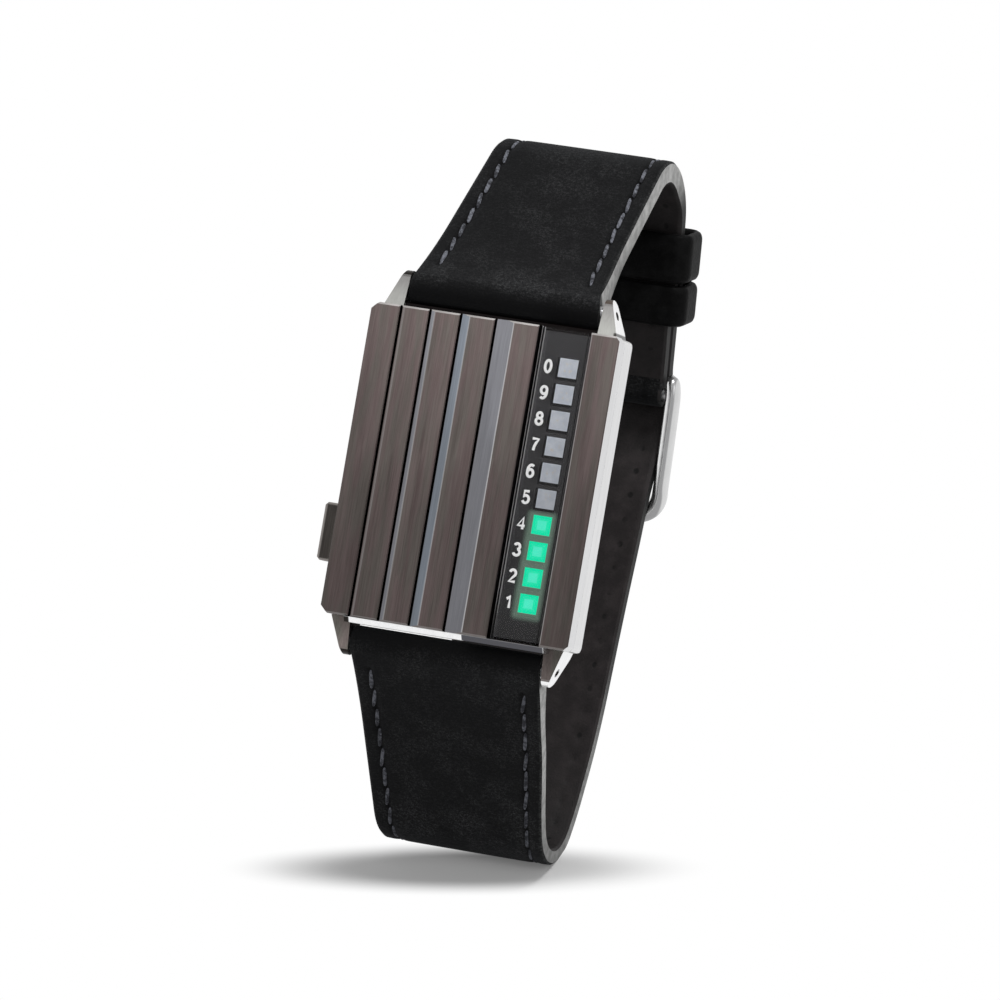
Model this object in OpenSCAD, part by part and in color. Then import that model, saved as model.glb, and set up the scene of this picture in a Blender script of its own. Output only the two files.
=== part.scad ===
// Rectangular LED wrist watch with a slatted steel case on a closed two-piece leather strap.
// The watch stands upright on the bend of its lower strap, dial towards -Y, pusher at -X.

/* [Case] */
// Case width across the dial, side wall to side wall
case_w = 31; // [30:0.5:34]
// Case length without the lugs
case_l = 37; // [35:0.5:40]
// Depth of the upright side wall below the slat tops
wall_depth = 4.5; // [4.2:0.1:5.5]
// Depth of the mid case from slat tops to the seat of the case back
case_depth = 7.9; // [7.7:0.1:9]
// How far the lower side walls draw in towards the case back
draw_in = 2.4; // [1.8:0.1:2.6]
// Angle by which the dial leans back from upright
lean = 30; // [25:1:35]
// Radius of the four upright case corners
corner_r = 0.9; // [0.5:0.1:1.4]
// Width of the bevelled end rim in front of the strap
rim_w = 0.65; // [0.5:0.05:0.8]

/* [Slats] */
// Thickness of the dial slats at their low edge
slat_t = 1.4; // [1.2:0.1:1.8]
// Width of the two outer bars
bar_w = 3.5; // [3.3:0.1:3.8]
// Dark joint between neighbouring slats
slat_gap = 0.3; // [0.2:0.05:0.4]
// Width of the sloped flank of the narrowest slat
flank_first = 0.2; // [0.15:0.05:0.3]
// Growth of the flank from one slat to the next, as a factor
flank_growth = 2.23; // [1.8:0.01:2.3]
// Slope of the flanks in degrees
flank_slope = 16; // [10:1:20]
// Edge break on slats and bars
slat_bevel = 0.12; // [0.05:0.01:0.2]

/* [Display] */
// Width of the dark display panel; the slats share what it leaves of the case width
panel_w = 5.86; // [5.6:0.02:6.6]
// Side of one square light window
tile = 2.5; // [2.2:0.1:2.6]
// Pitch of the ten light windows
tile_pitch = 3.09; // [3:0.02:3.2]
// Thickness of the display lens
lens_t = 1.1; // [0.9:0.1:1.3]
// How far the lens lies below the slat tops
lens_sunk = 0.25; // [0.1:0.05:0.4]
// Thickness of the deck under the slats
deck_t = 0.8; // [0.6:0.1:1]

/* [Lugs] */
// Gap between the inner faces of a pair of lugs
lug_gap = 24; // [22:0.5:25]
// Distance of each spring bar from the case end
bar_reach = 2.6; // [2.4:0.1:3]
// Depth of the spring bars below the slat tops
bar_sink = 3.2; // [3:0.1:3.4]
// Length of each lug past the case end
lug_len = 4.4; // [4.2:0.1:5]
// Width of the lug tip
lug_tip_w = 0.75; // [0.7:0.05:1.5]
// Radius of the holes drilled through the lugs
lug_hole_r = 0.5; // [0.45:0.05:0.6]
// Outer radius of the spring bar tubes
tube_r = 0.9; // [0.75:0.05:1]
// Travel of each spring bar tip
tip_travel = 0.9; // [0.8:0.05:0.95]

/* [Pusher] */
// Length of the pusher cap along the case side
pusher_l = 6.9; // [6:0.1:8]
// Height of the pusher cap
pusher_h = 2.2; // [1.8:0.1:2.4]
// How far the pusher cap stands proud of the side wall
pusher_proud = 2.2; // [1.4:0.1:2.4]
// Place of the pusher below the middle of the case
pusher_low = 9; // [7:0.5:10]
// Travel of the pusher
pusher_travel = 0.7; // [0.5:0.05:0.8]
// Radius of the pusher stem
stem_r = 0.6; // [0.5:0.05:0.65]

/* [Strap] */
// Width of the strap at the lugs
strap_w = 23.4; // [21.4:0.5:24.4]
// Width of the strap at buckle and tail
strap_end_w = 21.2; // [19:0.2:21.6]
// Length over which the strap narrows
taper_len = 45; // [30:1:48]
// Thickness of the strap
strap_t = 2.0; // [1.8:0.1:2.2]
// Radius of the leather loop round a spring bar
loop_r = 1.75; // [1.7:0.05:1.8]
// Straight run of the upper strap from the lugs
upper_run = 25.9; // [24:0.1:28]
// Heading of the upper strap as it leaves the lugs, degrees above level
upper_rise = 14; // [10:0.5:20]
// Bend radius at the top of the loop
top_bend_r = 7.5; // [7:0.1:8]
// Heading of the buckle end of the upper strap
upper_fall = -106; // [-110:1:-100]
// Straight run of the upper strap from the top bend to the buckle bar
back_run = 21.1; // [20.8:0.1:23]
// Straight run of the lower strap from the lugs
lower_run = 25.2; // [23:0.1:27]
// Heading of the lower strap as it leaves the lugs
lower_fall = -78.5; // [-82:0.5:-76]
// Bend radius at the bottom of the loop
foot_bend_r = 7.2; // [6.5:0.1:8]
// Depth of the flat on which the watch stands
foot_flat = 0.5; // [0.3:0.1:0.7]
// Length of the tail past the buckle bar
tail_len = 23; // [21:0.5:26]
// Radius of the adjustment holes
hole_r = 1.1; // [1:0.05:1.3]
// Pitch of the adjustment holes
hole_pitch = 6.5; // [6:0.1:7]

/* [Keepers] */
// Wall of the leather keepers
keeper_t = 1.2; // [1:0.1:1.3]
// Radius of the outer corners of the keepers
keeper_r = 2; // [1:0.1:2.4]
// Width of the fixed keeper along the strap
fixed_keeper_w = 5; // [4:0.1:5.2]
// Width of the sliding keeper along the strap
free_keeper_w = 6; // [5:0.1:6.5]
// Place of the fixed keeper above the buckle bar
keeper_up = 11.2; // [10.5:0.1:11.4]
// Travel of the sliding keeper along the strap
keeper_travel = 0.9; // [0.5:0.1:0.9]

/* [Buckle] */
// Heading of the buckle frame
frame_fall = -114; // [-117:1:-110]
// Distance from buckle bar to the far bar of the frame
frame_reach = 14.7; // [14:0.1:16]
// Width of each side rail of the frame
rail_w = 1.5; // [1.4:0.1:2.2]
// Thickness of the side rails
rail_t = 2.9; // [2.2:0.1:3.2]
// How far the side rails bow away from the wrist
rail_bow = 0.15; // [0.1:0.05:0.8]
// Side play between the strap and each rail
rail_play = 0.2; // [0.15:0.05:0.4]
// Radius of the far bar of the frame
far_r = 1.1; // [1:0.05:1.2]
// Radius of the buckle spring bar
pin_r = 0.75; // [0.7:0.05:0.8]
// Radius of the leather loop round the buckle bar
end_loop_r = 1.5; // [1.45:0.05:1.6]
// Width of the buckle tongue
tongue_w = 1.8; // [1.5:0.1:1.9]
// Thickness of the buckle tongue
tongue_t = 0.9; // [0.7:0.1:1]

/* [Hidden] */
seat = 0.02;
small = 0.01;
half_w = case_w / 2;
half_l = case_l / 2;
// Flank widths and heights grow from slat to slat, so the dial rises in steps to the display
flanks = [for (i = [0:3]) flank_first * pow(flank_growth, i)];
rises = [for (f = flanks) f * tan(flank_slope)];
function total(list, n, i = 0) = i >= n ? 0 : list[i] + total(list, n, i + 1);
slat_top_w = (case_w - 2 * bar_w - 6 * slat_gap - panel_w - total(flanks, 4)) / 4;
function slat_x(i) = -half_w + bar_w + slat_gap
  + i * (slat_top_w + slat_gap) + total(flanks, i);
dial_top = total(rises, 4);
deck_top = -slat_t;
deck_under = deck_top - deck_t;
panel_x0 = slat_x(4);
panel_x1 = half_w - bar_w - slat_gap;
lens_top = dial_top - lens_sunk;
lens_low = lens_top - lens_t;
tile_x = panel_x0 + 0.61 * (panel_x1 - panel_x0);
tile_fit = 0.05;
tiles = 10;
// Room for the movement inside the case
side_wall = 4.1;
end_wall = 3.3;
well_w = case_w - 2 * side_wall;
well_l = case_l - 2 * end_wall;
well_r = 2.5;
end_draw = 1.4;
back_w = case_w - 2 * draw_in;
back_l = case_l - 2 * end_draw;
back_t = 1.1;
screw_x = back_w / 2 - 0.95;
screw_y = back_l / 2 - 1;
screw_r = 0.5;
head_r = 0.8;
// Movement stack, measured down from the slat tops
board_top = -2.95;
board_t = 0.8;
board_w = well_w - 0.9;
board_l = well_l - 0.8;
chip = 1.6;
chip_h = 0.6;
cell_r = 10;
cell_t = 2.5;
holder_w = well_w - 0.5;
holder_l = well_l - 0.5;
holder_top = board_top - board_t - seat;
holder_low = -case_depth + 0.35;
cell_top = holder_top - 0.3;
clip_t = 0.25;
clip_w = 5;
clip_l = holder_l - 4.3;
// Spring bars of the lugs
bar_v = half_l + bar_reach;
fit = 0.06;
tube_half = lug_gap / 2 - 0.4;
tip_thick_r = tube_r - 0.28;
tip_thin_r = lug_hole_r - fit;
tip_end = lug_gap / 2 + tip_travel - 0.05;
tip_inner = 8.3;
// Pusher in the left wall
push_n = -3.3;
cap_in = 0.3;
pocket = cap_in + pusher_travel + 0.1;
spring_r = 1.1;
spring_floor = -half_w + pocket + 1.5;
clip_x = -well_w / 2 + seat;
// Straps
pin_clear = 0.08;
end_w = strap_end_w / 2;
lap_gap = 0.3;
// Inner face of the buckle rails and the end of the bar sunk into them
rail_in = end_w + rail_play;
bar_end = rail_in + 0.6 * rail_w;
keeper_gap = 0.2;
upper_pin = case_point(bar_v, -bar_sink);
lower_pin = case_point(-bar_v, -bar_sink);

function dir(a) = [cos(a), sin(a)];
function left(a) = [-sin(a), cos(a)];
// Point of the side plane for a place along the case and a height over the slats
function case_point(v, n) = v * dir(90 - lean) + n * left(90 - lean);
// Paths in the side plane are lists of [y, z, heading]
function line_path(p, a, len, n) = [for (i = [1:n])
  let (q = p + dir(a) * len * i / n) [q[0], q[1], a]];
function arc_path(p, a, turn, r, n) = let (s = sign(turn), c = p + s * r * left(a))
  [for (i = [1:n]) let (h = a + turn * i / n, q = c - s * r * left(h)) [q[0], q[1], h]];
function curve_path(p, a, q, b, n) = let (k = norm(q - p) / 3)
  [for (i = [1:n]) let (t = i / n, u = 1 - t,
    p1 = p + k * dir(a), q1 = q - k * dir(b),
    r = u*u*u*p + 3*u*u*t*p1 + 3*u*t*t*q1 + t*t*t*q,
    d = u*u*(p1 - p) + 2*u*t*(q1 - p1) + t*t*(q - q1))
    [r[0], r[1], atan2(d[1], d[0])]];
function at(path) = [path[len(path) - 1][0], path[len(path) - 1][1]];
function heading(path) = path[len(path) - 1][2];
function step(path, i) = norm([path[i][0] - path[i-1][0], path[i][1] - path[i-1][1]]);
function lengths(path, i = 0, sum = 0) = i >= len(path) ? []
  : let (s = i == 0 ? 0 : sum + step(path, i)) concat([s], lengths(path, i + 1, s));

// Upper strap from the lugs over the top bend and down to the buckle bar
upper_a = concat([[upper_pin[0], upper_pin[1], upper_rise]],
  line_path(upper_pin, upper_rise, upper_run, 12));
upper_b = concat(upper_a,
  arc_path(at(upper_a), upper_rise, upper_fall - upper_rise, top_bend_r, 18));
upper_path = concat(upper_b, line_path(at(upper_b), upper_fall, back_run, 6));
buckle_pin = at(upper_path);
up_dir = -dir(upper_fall);
up_out = left(upper_fall);
frame_dir = dir(frame_fall);
frame_out = left(frame_fall);
far_pin = buckle_pin + frame_reach * frame_dir;
// Lower strap from the lugs round the foot, inside the far bar, over the buckle bar
lower_a = concat([[lower_pin[0], lower_pin[1], lower_fall]],
  line_path(lower_pin, lower_fall, lower_run, 10));
// Headings of the strap after the foot, under the far bar and over the buckle bar
foot_end = 26;
under_heading = 56;
over_heading = 62;
foot_turn = foot_end - lower_fall;
lower_b = concat(lower_a, arc_path(at(lower_a), lower_fall, foot_turn, foot_bend_r, 16));
strap_play = 0.2;
under_far = far_pin - (far_r + strap_play + strap_t / 2) * frame_out;
over_pin = buckle_pin + (end_loop_r + strap_play + strap_t / 2) * up_out;
lap = strap_t + lap_gap;
tail_rise = 3.2;
lap_start = buckle_pin + tail_rise * up_dir + lap * up_out;
lower_c = concat(lower_b, curve_path(at(lower_b), heading(lower_b), under_far, under_heading, 16));
lower_d = concat(lower_c, curve_path(under_far, under_heading, over_pin, over_heading, 10));
lower_e = concat(lower_d, curve_path(over_pin, over_heading, lap_start, 180 + upper_fall, 4));
lower_path = concat(lower_e,
  line_path(lap_start, 180 + upper_fall, tail_len - tail_rise, 14));
lower_len = lengths(lower_path);
upper_len = lengths(upper_path);
lowest = min([for (p = lower_path) p[1] - strap_t / 2 * cos(p[2])]);
case_z = -lowest - foot_flat;
foot_c = at(lower_a) + foot_bend_r * left(lower_fall);
case_y = -foot_c[0];

function taper(s) = strap_w / 2 - (strap_w - strap_end_w) / 2 * min(1, s / taper_len);
// Half width near the pointed tail, with d the way left to the tip
function tip(d) = d > 7 ? 1 : sqrt(max(0.02, 1 - pow(1 - d / 7, 2)));
// Thickness grows to the loop round the lug bar
function thick(s) = strap_t + (2 * loop_r - 0.3 - strap_t) * pow(max(0, 1 - s / 12), 2);

// A band swept along a path; each station is [y, z, heading, half width, thickness]
module band(stations, edge) {
  n = len(stations);
  points = [for (st = stations) let (w = st[3], t = st[4] / 2, o = left(st[2]), e = edge)
    for (c = [[w, -t + e], [w, t - e], [w - e, t], [-w + e, t],
              [-w, t - e], [-w, -t + e], [-w + e, -t], [w - e, -t]])
      [c[0], st[0] + c[1] * o[0], st[1] + c[1] * o[1]]];
  sides = [for (i = [0:n-2]) for (k = [0:7]) let (a = 8*i + k, b = 8*i + (k + 1) % 8)
    for (f = [[a, b, b + 8], [a, b + 8, a + 8]]) f];
  start = [for (k = [1:6]) [0, k + 1, k]];
  end = [for (k = [1:6]) [8*n - 8, 8*n - 8 + k, 8*n - 8 + k + 1]];
  polyhedron(points, concat(sides, start, end));
}

// Frames: in_case has x across, y along the case and z out of the dial
module in_case() translate([0, case_y, case_z]) rotate([90 - lean, 0, 0]) children();
module in_side() translate([0, case_y, case_z]) children();
// At the buckle bar: y down the strap or frame, z away from the wrist
module at_bar(a) in_side() translate([0, buckle_pin[0], buckle_pin[1]])
  rotate([a, 0, 0]) children();
module both_ends() for (m = [0, 1]) mirror([0, m, 0]) children();
module both_sides() for (m = [0, 1]) mirror([m, 0, 0]) children();
// Outline in x and z drawn along y, and outline in y and z drawn along x
module along(len) rotate([90, 0, 0]) linear_extrude(len, center = true) children();
module across(len) rotate([90, 0, 90]) linear_extrude(len, center = true) children();
module rod(r, x0, x1) translate([x0, 0, 0]) rotate([0, 90, 0]) cylinder(x1 - x0, r, r);
module rounded(w, l, r) {
  square([w - 2 * r, l], center = true);
  square([w, l - 2 * r], center = true);
  for (x = [-1, 1], y = [-1, 1])
    translate([x * (w / 2 - r), y * (l / 2 - r)]) circle(r, $fn = 32);
}
module plate(w, l, r, z0, z1) translate([0, 0, z0]) linear_extrude(z1 - z0) rounded(w, l, r);

// Bevelled rim along the lower end of the dial
module rim(x0, x1, top) mirror([0, 1, 0]) translate([(x0 + x1) / 2, 0, 0]) across(x1 - x0)
  polygon([[half_l - 0.8, deck_top - 0.3], [half_l + seat, deck_top - 0.3],
    [half_l + seat, top], [half_l + rim_w, top - 0.8 * rim_w],
    [half_l + rim_w, -3.2], [half_l, -3.9], [half_l - 0.8, -3.9]]);

// Low ledge at the upper end, hidden behind the slats and the strap
module ledge() across(lug_gap + 1)
  polygon([[half_l - 0.8, deck_top - 0.2], [half_l + rim_w - 0.2, deck_top - 0.2],
    [half_l + rim_w, deck_top - 0.4], [half_l + rim_w, -3.2], [half_l, -3.9],
    [half_l - 0.8, -3.9]]);

// Tapered lug whose front falls away towards its rounded tip
module lug() {
  tip_r = 1.35;
  tip_c = [half_l + lug_len - tip_r, -bar_sink - 0.05];
  intersection() {
    translate([0, 0, -8]) linear_extrude(9)
      polygon([[lug_gap / 2, half_l - 3], [half_w - 1.2, half_l - 3], [half_w - 1.1, half_l],
        [lug_gap / 2 + lug_tip_w + 0.35, half_l + lug_len - 0.8],
        [lug_gap / 2 + lug_tip_w, half_l + lug_len], [lug_gap / 2, half_l + lug_len]]);
    across(4 * half_w) polygon(concat(
      [[half_l - 3, deck_top - 0.1], [half_l + seat, deck_top - 0.1], [half_l + seat, -1.2]],
      [for (a = [68:-12:-52]) tip_c + tip_r * dir(a)],
      [[half_l + 0.8, -wall_depth - 0.7], [half_l - 3, -wall_depth - 0.4]]));
  }
}

module mid_case() color("DimGray") in_case() difference() {
  union() {
    intersection() {
      plate(case_w, case_l, corner_r, -case_depth, deck_top);
      along(case_l + 2) polygon([[-half_w - 1, deck_top + 1], [-half_w - 1, -wall_depth],
        [-half_w, -wall_depth], [-back_w / 2, -case_depth], [back_w / 2, -case_depth],
        [half_w, -wall_depth], [half_w + 1, -wall_depth], [half_w + 1, deck_top + 1]]);
      across(case_w + 2) polygon([[-half_l - 1, deck_top + 1], [-half_l - 1, -wall_depth],
        [-half_l, -wall_depth], [-back_l / 2, -case_depth], [back_l / 2, -case_depth],
        [half_l, -wall_depth], [half_l + 1, -wall_depth], [half_l + 1, deck_top + 1]]);
    }
    rim(-lug_gap / 2 - 0.5, slat_x(3) + flanks[3], -0.1);
    rim(slat_x(3) + flanks[3] - small, lug_gap / 2 + 0.5, dial_top - 0.25);
    ledge();
    both_ends() both_sides() lug();
  }
  plate(well_w, well_l, well_r, -case_depth - 1, deck_under);
  translate([tile_x, 0, deck_under - 1])
    linear_extrude(4) square([tile - 0.5, tile_pitch * 9 + tile - 0.5], center = true);
  both_ends() translate([0, bar_v, -bar_sink]) rod(lug_hole_r, -half_w - 1, half_w + 1, $fn = 24);
  // Seal groove and screw holes under the case back
  difference() {
    plate(well_w + 1.7, well_l + 1.7, well_r + 0.85, -case_depth - 1, -case_depth + 0.5);
    plate(well_w + 0.5, well_l + 0.5, well_r + 0.25, -case_depth - 2, -case_depth + 1);
  }
  both_ends() both_sides() translate([screw_x, screw_y, -case_depth - 1])
    cylinder(3.4, screw_r, screw_r, $fn = 20);
  // Pocket, spring bore, seal groove and stem bore of the pusher
  translate([0, -pusher_low, push_n]) {
    translate([-half_w - 1, -pusher_l / 2 - 0.1, -pusher_h / 2 - 0.08])
      cube([pocket + 1, pusher_l + 0.2, pusher_h + 0.16]);
    rod(spring_r + 0.05, -half_w, spring_floor, $fn = 24);
    rod(stem_r + 0.3, spring_floor + 0.5, spring_floor + 0.95, $fn = 24);
    rod(stem_r + 0.05, -half_w, -well_w / 2 + 1, $fn = 24);
  }
}

// Slat outline with a flank rising to the flat top; ends have a fine bevel
module slat_form(x0, flank, low, top, x1) intersection() {
  b = slat_bevel;
  along(case_l + 1) polygon(concat([[x0, deck_top + seat], [x1, deck_top + seat],
    [x1, top - b], [x1 - b, top], [x0 + flank + b / 2, top]],
    flank > 0 ? [[x0 + b / 2, low]] : [], [[x0, low - b / 2]]));
  across(3 * half_w) polygon([[-half_l, deck_top], [half_l, deck_top], [half_l, top - 2 * b],
    [half_l - 2 * b, top + small], [-half_l + 2 * b, top + small], [-half_l, top - 2 * b]]);
}
module slat(i) in_case() slat_form(slat_x(i), flanks[i], total(rises, i), total(rises, i + 1),
  slat_x(i) + flanks[i] + slat_top_w);
module slat_2() color("SlateGray") slat(0);
module slat_3() color("SlateGray") slat(1);
module slat_4() color("SlateGray") slat(2);
module slat_5() color("SlateGray") slat(3);
// Outer bars have their two outer corners cut at 45 degrees
module corner_cuts(side, cut) both_ends() translate([side * half_w, half_l, 0])
  rotate([0, 0, 45 * side]) cube([cut, 4, 12], center = true);
module left_bar() color("Gray") in_case() difference() {
  slat_form(-half_w, 0, 0, 0, -half_w + bar_w);
  corner_cuts(-1, 1.35 * corner_r);
}
module right_bar() color("Gray") in_case() difference() {
  slat_form(half_w - bar_w, 0, dial_top, dial_top, half_w);
  corner_cuts(1, 0.85 * corner_r);
}

module display_lens() color("Black") in_case() {
  b = 0.15;
  x0 = panel_x0 + 0.05;
  x1 = panel_x1 - 0.05;
  e = half_l - 0.05;
  intersection() {
    along(2 * e) polygon([[x0, lens_low], [x1, lens_low], [x1, lens_top - b],
      [x1 - b, lens_top], [x0 + b, lens_top], [x0, lens_top - b]]);
    across(3 * half_w) polygon([[-e, lens_low], [e, lens_low], [e, lens_top - b],
      [e - b, lens_top + small], [-e + b, lens_top + small], [-e, lens_top - b]]);
  }
}
module tile_grid() for (i = [0:tiles - 1])
  translate([tile_x, ((tiles - 1) / 2 - i) * tile_pitch, 0]) children();
module light_guide() color("Black") in_case() difference() {
  translate([panel_x0 + 0.1, -half_l + 0.4, deck_top + seat])
    cube([panel_x1 - panel_x0 - 0.2, case_l - 0.8, lens_low - deck_top - 2 * seat]);
  tile_grid() translate([0, 0, deck_top]) linear_extrude(4)
    square(tile + 2 * tile_fit, center = true);
}
module light_tiles() color("MediumSpringGreen") in_case() tile_grid()
  translate([0, 0, deck_top + seat])
  linear_extrude(lens_low - deck_top - 2 * seat) square(tile, center = true);
module led_chips() color("White") in_case() tile_grid() translate([0, 0, board_top + seat])
  linear_extrude(chip_h) square(chip, center = true);

// Clearance cut so that the pusher stem and its clip can travel
module stem_notch() translate([-well_w / 2 - 1, -pusher_low - 1.5, push_n - 1.25])
  cube([2.8 + 0.1, 3, 3]);
module module_board() color("DarkGreen") in_case() difference() {
  plate(board_w, board_l, 1.8, board_top - board_t, board_top);
  stem_notch();
}
module module_holder() color("Ivory") in_case() difference() {
  plate(holder_w, holder_l, 2.2, holder_low, holder_top);
  translate([0, 0, holder_low - 1])
    cylinder(cell_top - holder_low + 1, cell_r + 0.15, cell_r + 0.15, $fn = 72);
  translate([-clip_w / 2 - 0.2, -clip_l / 2 - 0.2, holder_low - 1])
    cube([clip_w + 0.4, clip_l + 0.4, cell_top - cell_t - holder_low + 1 - seat]);
  stem_notch();
}
module coin_cell() color("Silver") in_case() translate([0, 0, cell_top - seat - cell_t]) {
  cylinder(cell_t - 0.4, cell_r, cell_r, $fn = 72);
  cylinder(cell_t, cell_r - 1.2, cell_r - 1.2, $fn = 72);
}
module cell_clip() color("Goldenrod") in_case()
  translate([-clip_w / 2, -clip_l / 2, cell_top - cell_t - clip_t - 2.5 * seat])
    cube([clip_w, clip_l, clip_t]);

module case_back() color("Gray") in_case() difference() {
  plate(back_w - 0.3, back_l - 0.3, 1.2, -case_depth - back_t - seat, -case_depth - seat);
  both_ends() both_sides() translate([screw_x, screw_y, -case_depth - 3]) {
    cylinder(4, screw_r + 0.05, screw_r + 0.05, $fn = 20);
    cylinder(3 - 0.5, head_r + 0.06, head_r + 0.06, $fn = 24);
  }
}
module back_gasket() color("Black") in_case() difference() {
  plate(well_w + 1.6, well_l + 1.6, well_r + 0.8, -case_depth, -case_depth + 0.48);
  plate(well_w + 0.6, well_l + 0.6, well_r + 0.3, -case_depth - 1, -case_depth + 1);
}
module back_screws() color("Silver") in_case() both_ends() both_sides()
  translate([screw_x, screw_y, -case_depth]) difference() {
    union() {
      translate([0, 0, -0.55]) cylinder(2.8, screw_r - 0.04, screw_r - 0.04, $fn = 20);
      translate([0, 0, -1.05]) cylinder(0.52, head_r, head_r, $fn = 24);
    }
    translate([-1, -0.1, -2]) cube([2, 0.2, 1.2]);
  }

module at_pusher() in_case() translate([0, -pusher_low, push_n]) children();
module pusher() color("DimGray") at_pusher() {
  x0 = -half_w - pusher_proud;
  x1 = -half_w + cap_in;
  l = pusher_l / 2;
  translate([0, 0, -pusher_h / 2]) linear_extrude(pusher_h)
    polygon([[x1, -l], [x1, l], [x0 + 0.35, l], [x0, l - 0.35], [x0, -l + 0.35],
      [x0 + 0.35, -l]]);
  rod(stem_r, x1 - 0.1, clip_x + seat, $fn = 24);
  rod(stem_r - 0.2, clip_x - 0.1, clip_x + clip_t + 0.2, $fn = 24);
  rod(stem_r, clip_x + clip_t + 0.1, clip_x + clip_t + 0.6, $fn = 24);
}
module pusher_clip() color("Silver") at_pusher() difference() {
  rod(stem_r + 0.4, clip_x + 2 * seat, clip_x + clip_t, $fn = 24);
  rod(stem_r - 0.17, clip_x - 1, clip_x + 1, $fn = 24);
  translate([clip_x - 1, 0, -0.3]) cube([2, 2, 0.6]);
}
module pusher_seal() color("Black") at_pusher() translate([spring_floor + 0.725, 0, 0])
  rotate([0, 90, 0]) rotate_extrude($fn = 24) translate([stem_r + 0.15, 0])
  circle(0.135, $fn = 12);
// Coil wound about x from 0 to len
module coil(r, wire, turns, len) {
  n = turns * 14;
  points = [for (i = [0:n]) let (a = 360 * turns * i / n, x = len * i / n)
    for (k = [0:5]) let (q = r + wire * cos(60 * k))
      [x + wire * sin(60 * k), q * cos(a), q * sin(a)]];
  sides = [for (i = [0:n-1]) for (k = [0:5]) let (a = 6*i + k, b = 6*i + (k + 1) % 6)
    for (f = [[a, b + 6, b], [a, a + 6, b + 6]]) f];
  polyhedron(points, concat(sides, [for (k = [1:4]) [0, k, k + 1]],
    [for (k = [1:4]) [6*n, 6*n + k + 1, 6*n + k]]));
}
module pusher_spring() color("Silver") at_pusher()
  translate([-half_w + cap_in + pusher_travel + 0.17, 0, 0])
  coil(0.9, 0.1, 4, spring_floor + half_w - cap_in - pusher_travel - 0.3);

module lug_tube(s) in_case() translate([0, s * bar_v, -bar_sink]) difference() {
  rod(tube_r, -tube_half, tube_half, $fn = 32);
  rod(tube_r - 0.2, -20, 20, $fn = 32);
}
module tube_spring(s) in_case() translate([0, s * bar_v, -bar_sink]) difference() {
  rod(tube_r - 0.26, -tip_inner + tip_travel, tip_inner - tip_travel, $fn = 24);
  rod(tube_r - 0.45, -20, 20, $fn = 24);
}
module lug_tip(s, side) in_case() translate([0, s * bar_v, -bar_sink])
  mirror([side < 0 ? 1 : 0, 0, 0]) {
    rod(tip_thick_r, tip_inner, lug_gap / 2 - 0.08, $fn = 24);
    rod(tip_thin_r, lug_gap / 2 - 0.1, tip_end, $fn = 24);
  }
module top_bar_tube() color("Silver") lug_tube(1);
module top_bar_spring() color("Silver") tube_spring(1);
module top_left_tip() color("Silver") lug_tip(1, -1);
module top_right_tip() color("Silver") lug_tip(1, 1);
module low_bar_tube() color("Silver") lug_tube(-1);
module low_bar_spring() color("Silver") tube_spring(-1);
module low_left_tip() color("Silver") lug_tip(-1, -1);
module low_right_tip() color("Silver") lug_tip(-1, 1);

// Tongue arm in the side view of the frame, grown all round by g
module arm(g) {
  top = far_r + 0.06 + tongue_t;
  polygon([[0.5 - g, 0.2 - g], [frame_reach - 2, far_r + 0.06 - g],
    [frame_reach + 1.3 + g, far_r + 0.06 - g], [frame_reach + 1.3 + g, far_r + 0.5 + g],
    [frame_reach + 0.3, top + g], [0.2 - g, pin_r + 0.6 + g]]);
}
module buckle_frame() color("LightSteelBlue") at_bar(frame_fall) difference() {
  full = 2 * (rail_in + rail_w);
  y0 = -2.6;
  y1 = frame_reach + far_r + 0.3;
  intersection() {
    union() {
      both_sides() translate([rail_in + rail_w / 2, 0, 0]) across(rail_w) polygon(concat(
        [for (i = [0:20]) let (t = i / 20, h = pow(1 - pow(abs(2 * t - 1), 5), 0.5))
          [y0 + (y1 - y0) * t, rail_bow * sin(180 * t) + rail_t / 2 * h]],
        [for (i = [19:-1:1]) let (t = i / 20, h = pow(1 - pow(abs(2 * t - 1), 5), 0.5))
          [y0 + (y1 - y0) * t, rail_bow * sin(180 * t) - rail_t / 2 * h]]));
      translate([0, frame_reach, 0]) rod(far_r, -rail_in - 0.5, rail_in + 0.5, $fn = 32);
    }
    translate([0, (y0 + y1) / 2, -5]) linear_extrude(10) rounded(full, y1 - y0, 1.6);
  }
  both_sides() rod(pin_r + 0.05, rail_in - 1, bar_end + 0.1, $fn = 24);
}
module buckle_tongue() color("LightSteelBlue") at_bar(frame_fall) difference() {
  union() {
    rod(pin_r + 0.6, -tongue_w / 2, tongue_w / 2, $fn = 32);
    across(tongue_w) arm(0);
  }
  rod(pin_r + 0.05, -5, 5, $fn = 32);
}
module buckle_bar() color("Silver") at_bar(0)
  rod(pin_r, -bar_end, bar_end, $fn = 32);

// One keeper round both layers, from y0 to y1 above the buckle bar
module keeper(y0, y1) at_bar(upper_fall) translate([0, -(y0 + y1) / 2, lap / 2])
  along(y1 - y0) difference() {
    w = strap_end_w + 2 * keeper_gap;
    t = lap + strap_t + 2 * keeper_gap;
    rounded(w + 2 * keeper_t, t + 2 * keeper_t, keeper_r);
    rounded(w, t, max(0.4, keeper_r - keeper_t));
  }
keeper_mid = keeper_up + fixed_keeper_w / 2 + 0.3;
module fixed_keeper() color("Black")
  keeper(keeper_up - fixed_keeper_w / 2, keeper_up + fixed_keeper_w / 2);
module free_keeper() color("Black") keeper(keeper_mid, keeper_mid + free_keeper_w);

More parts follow.
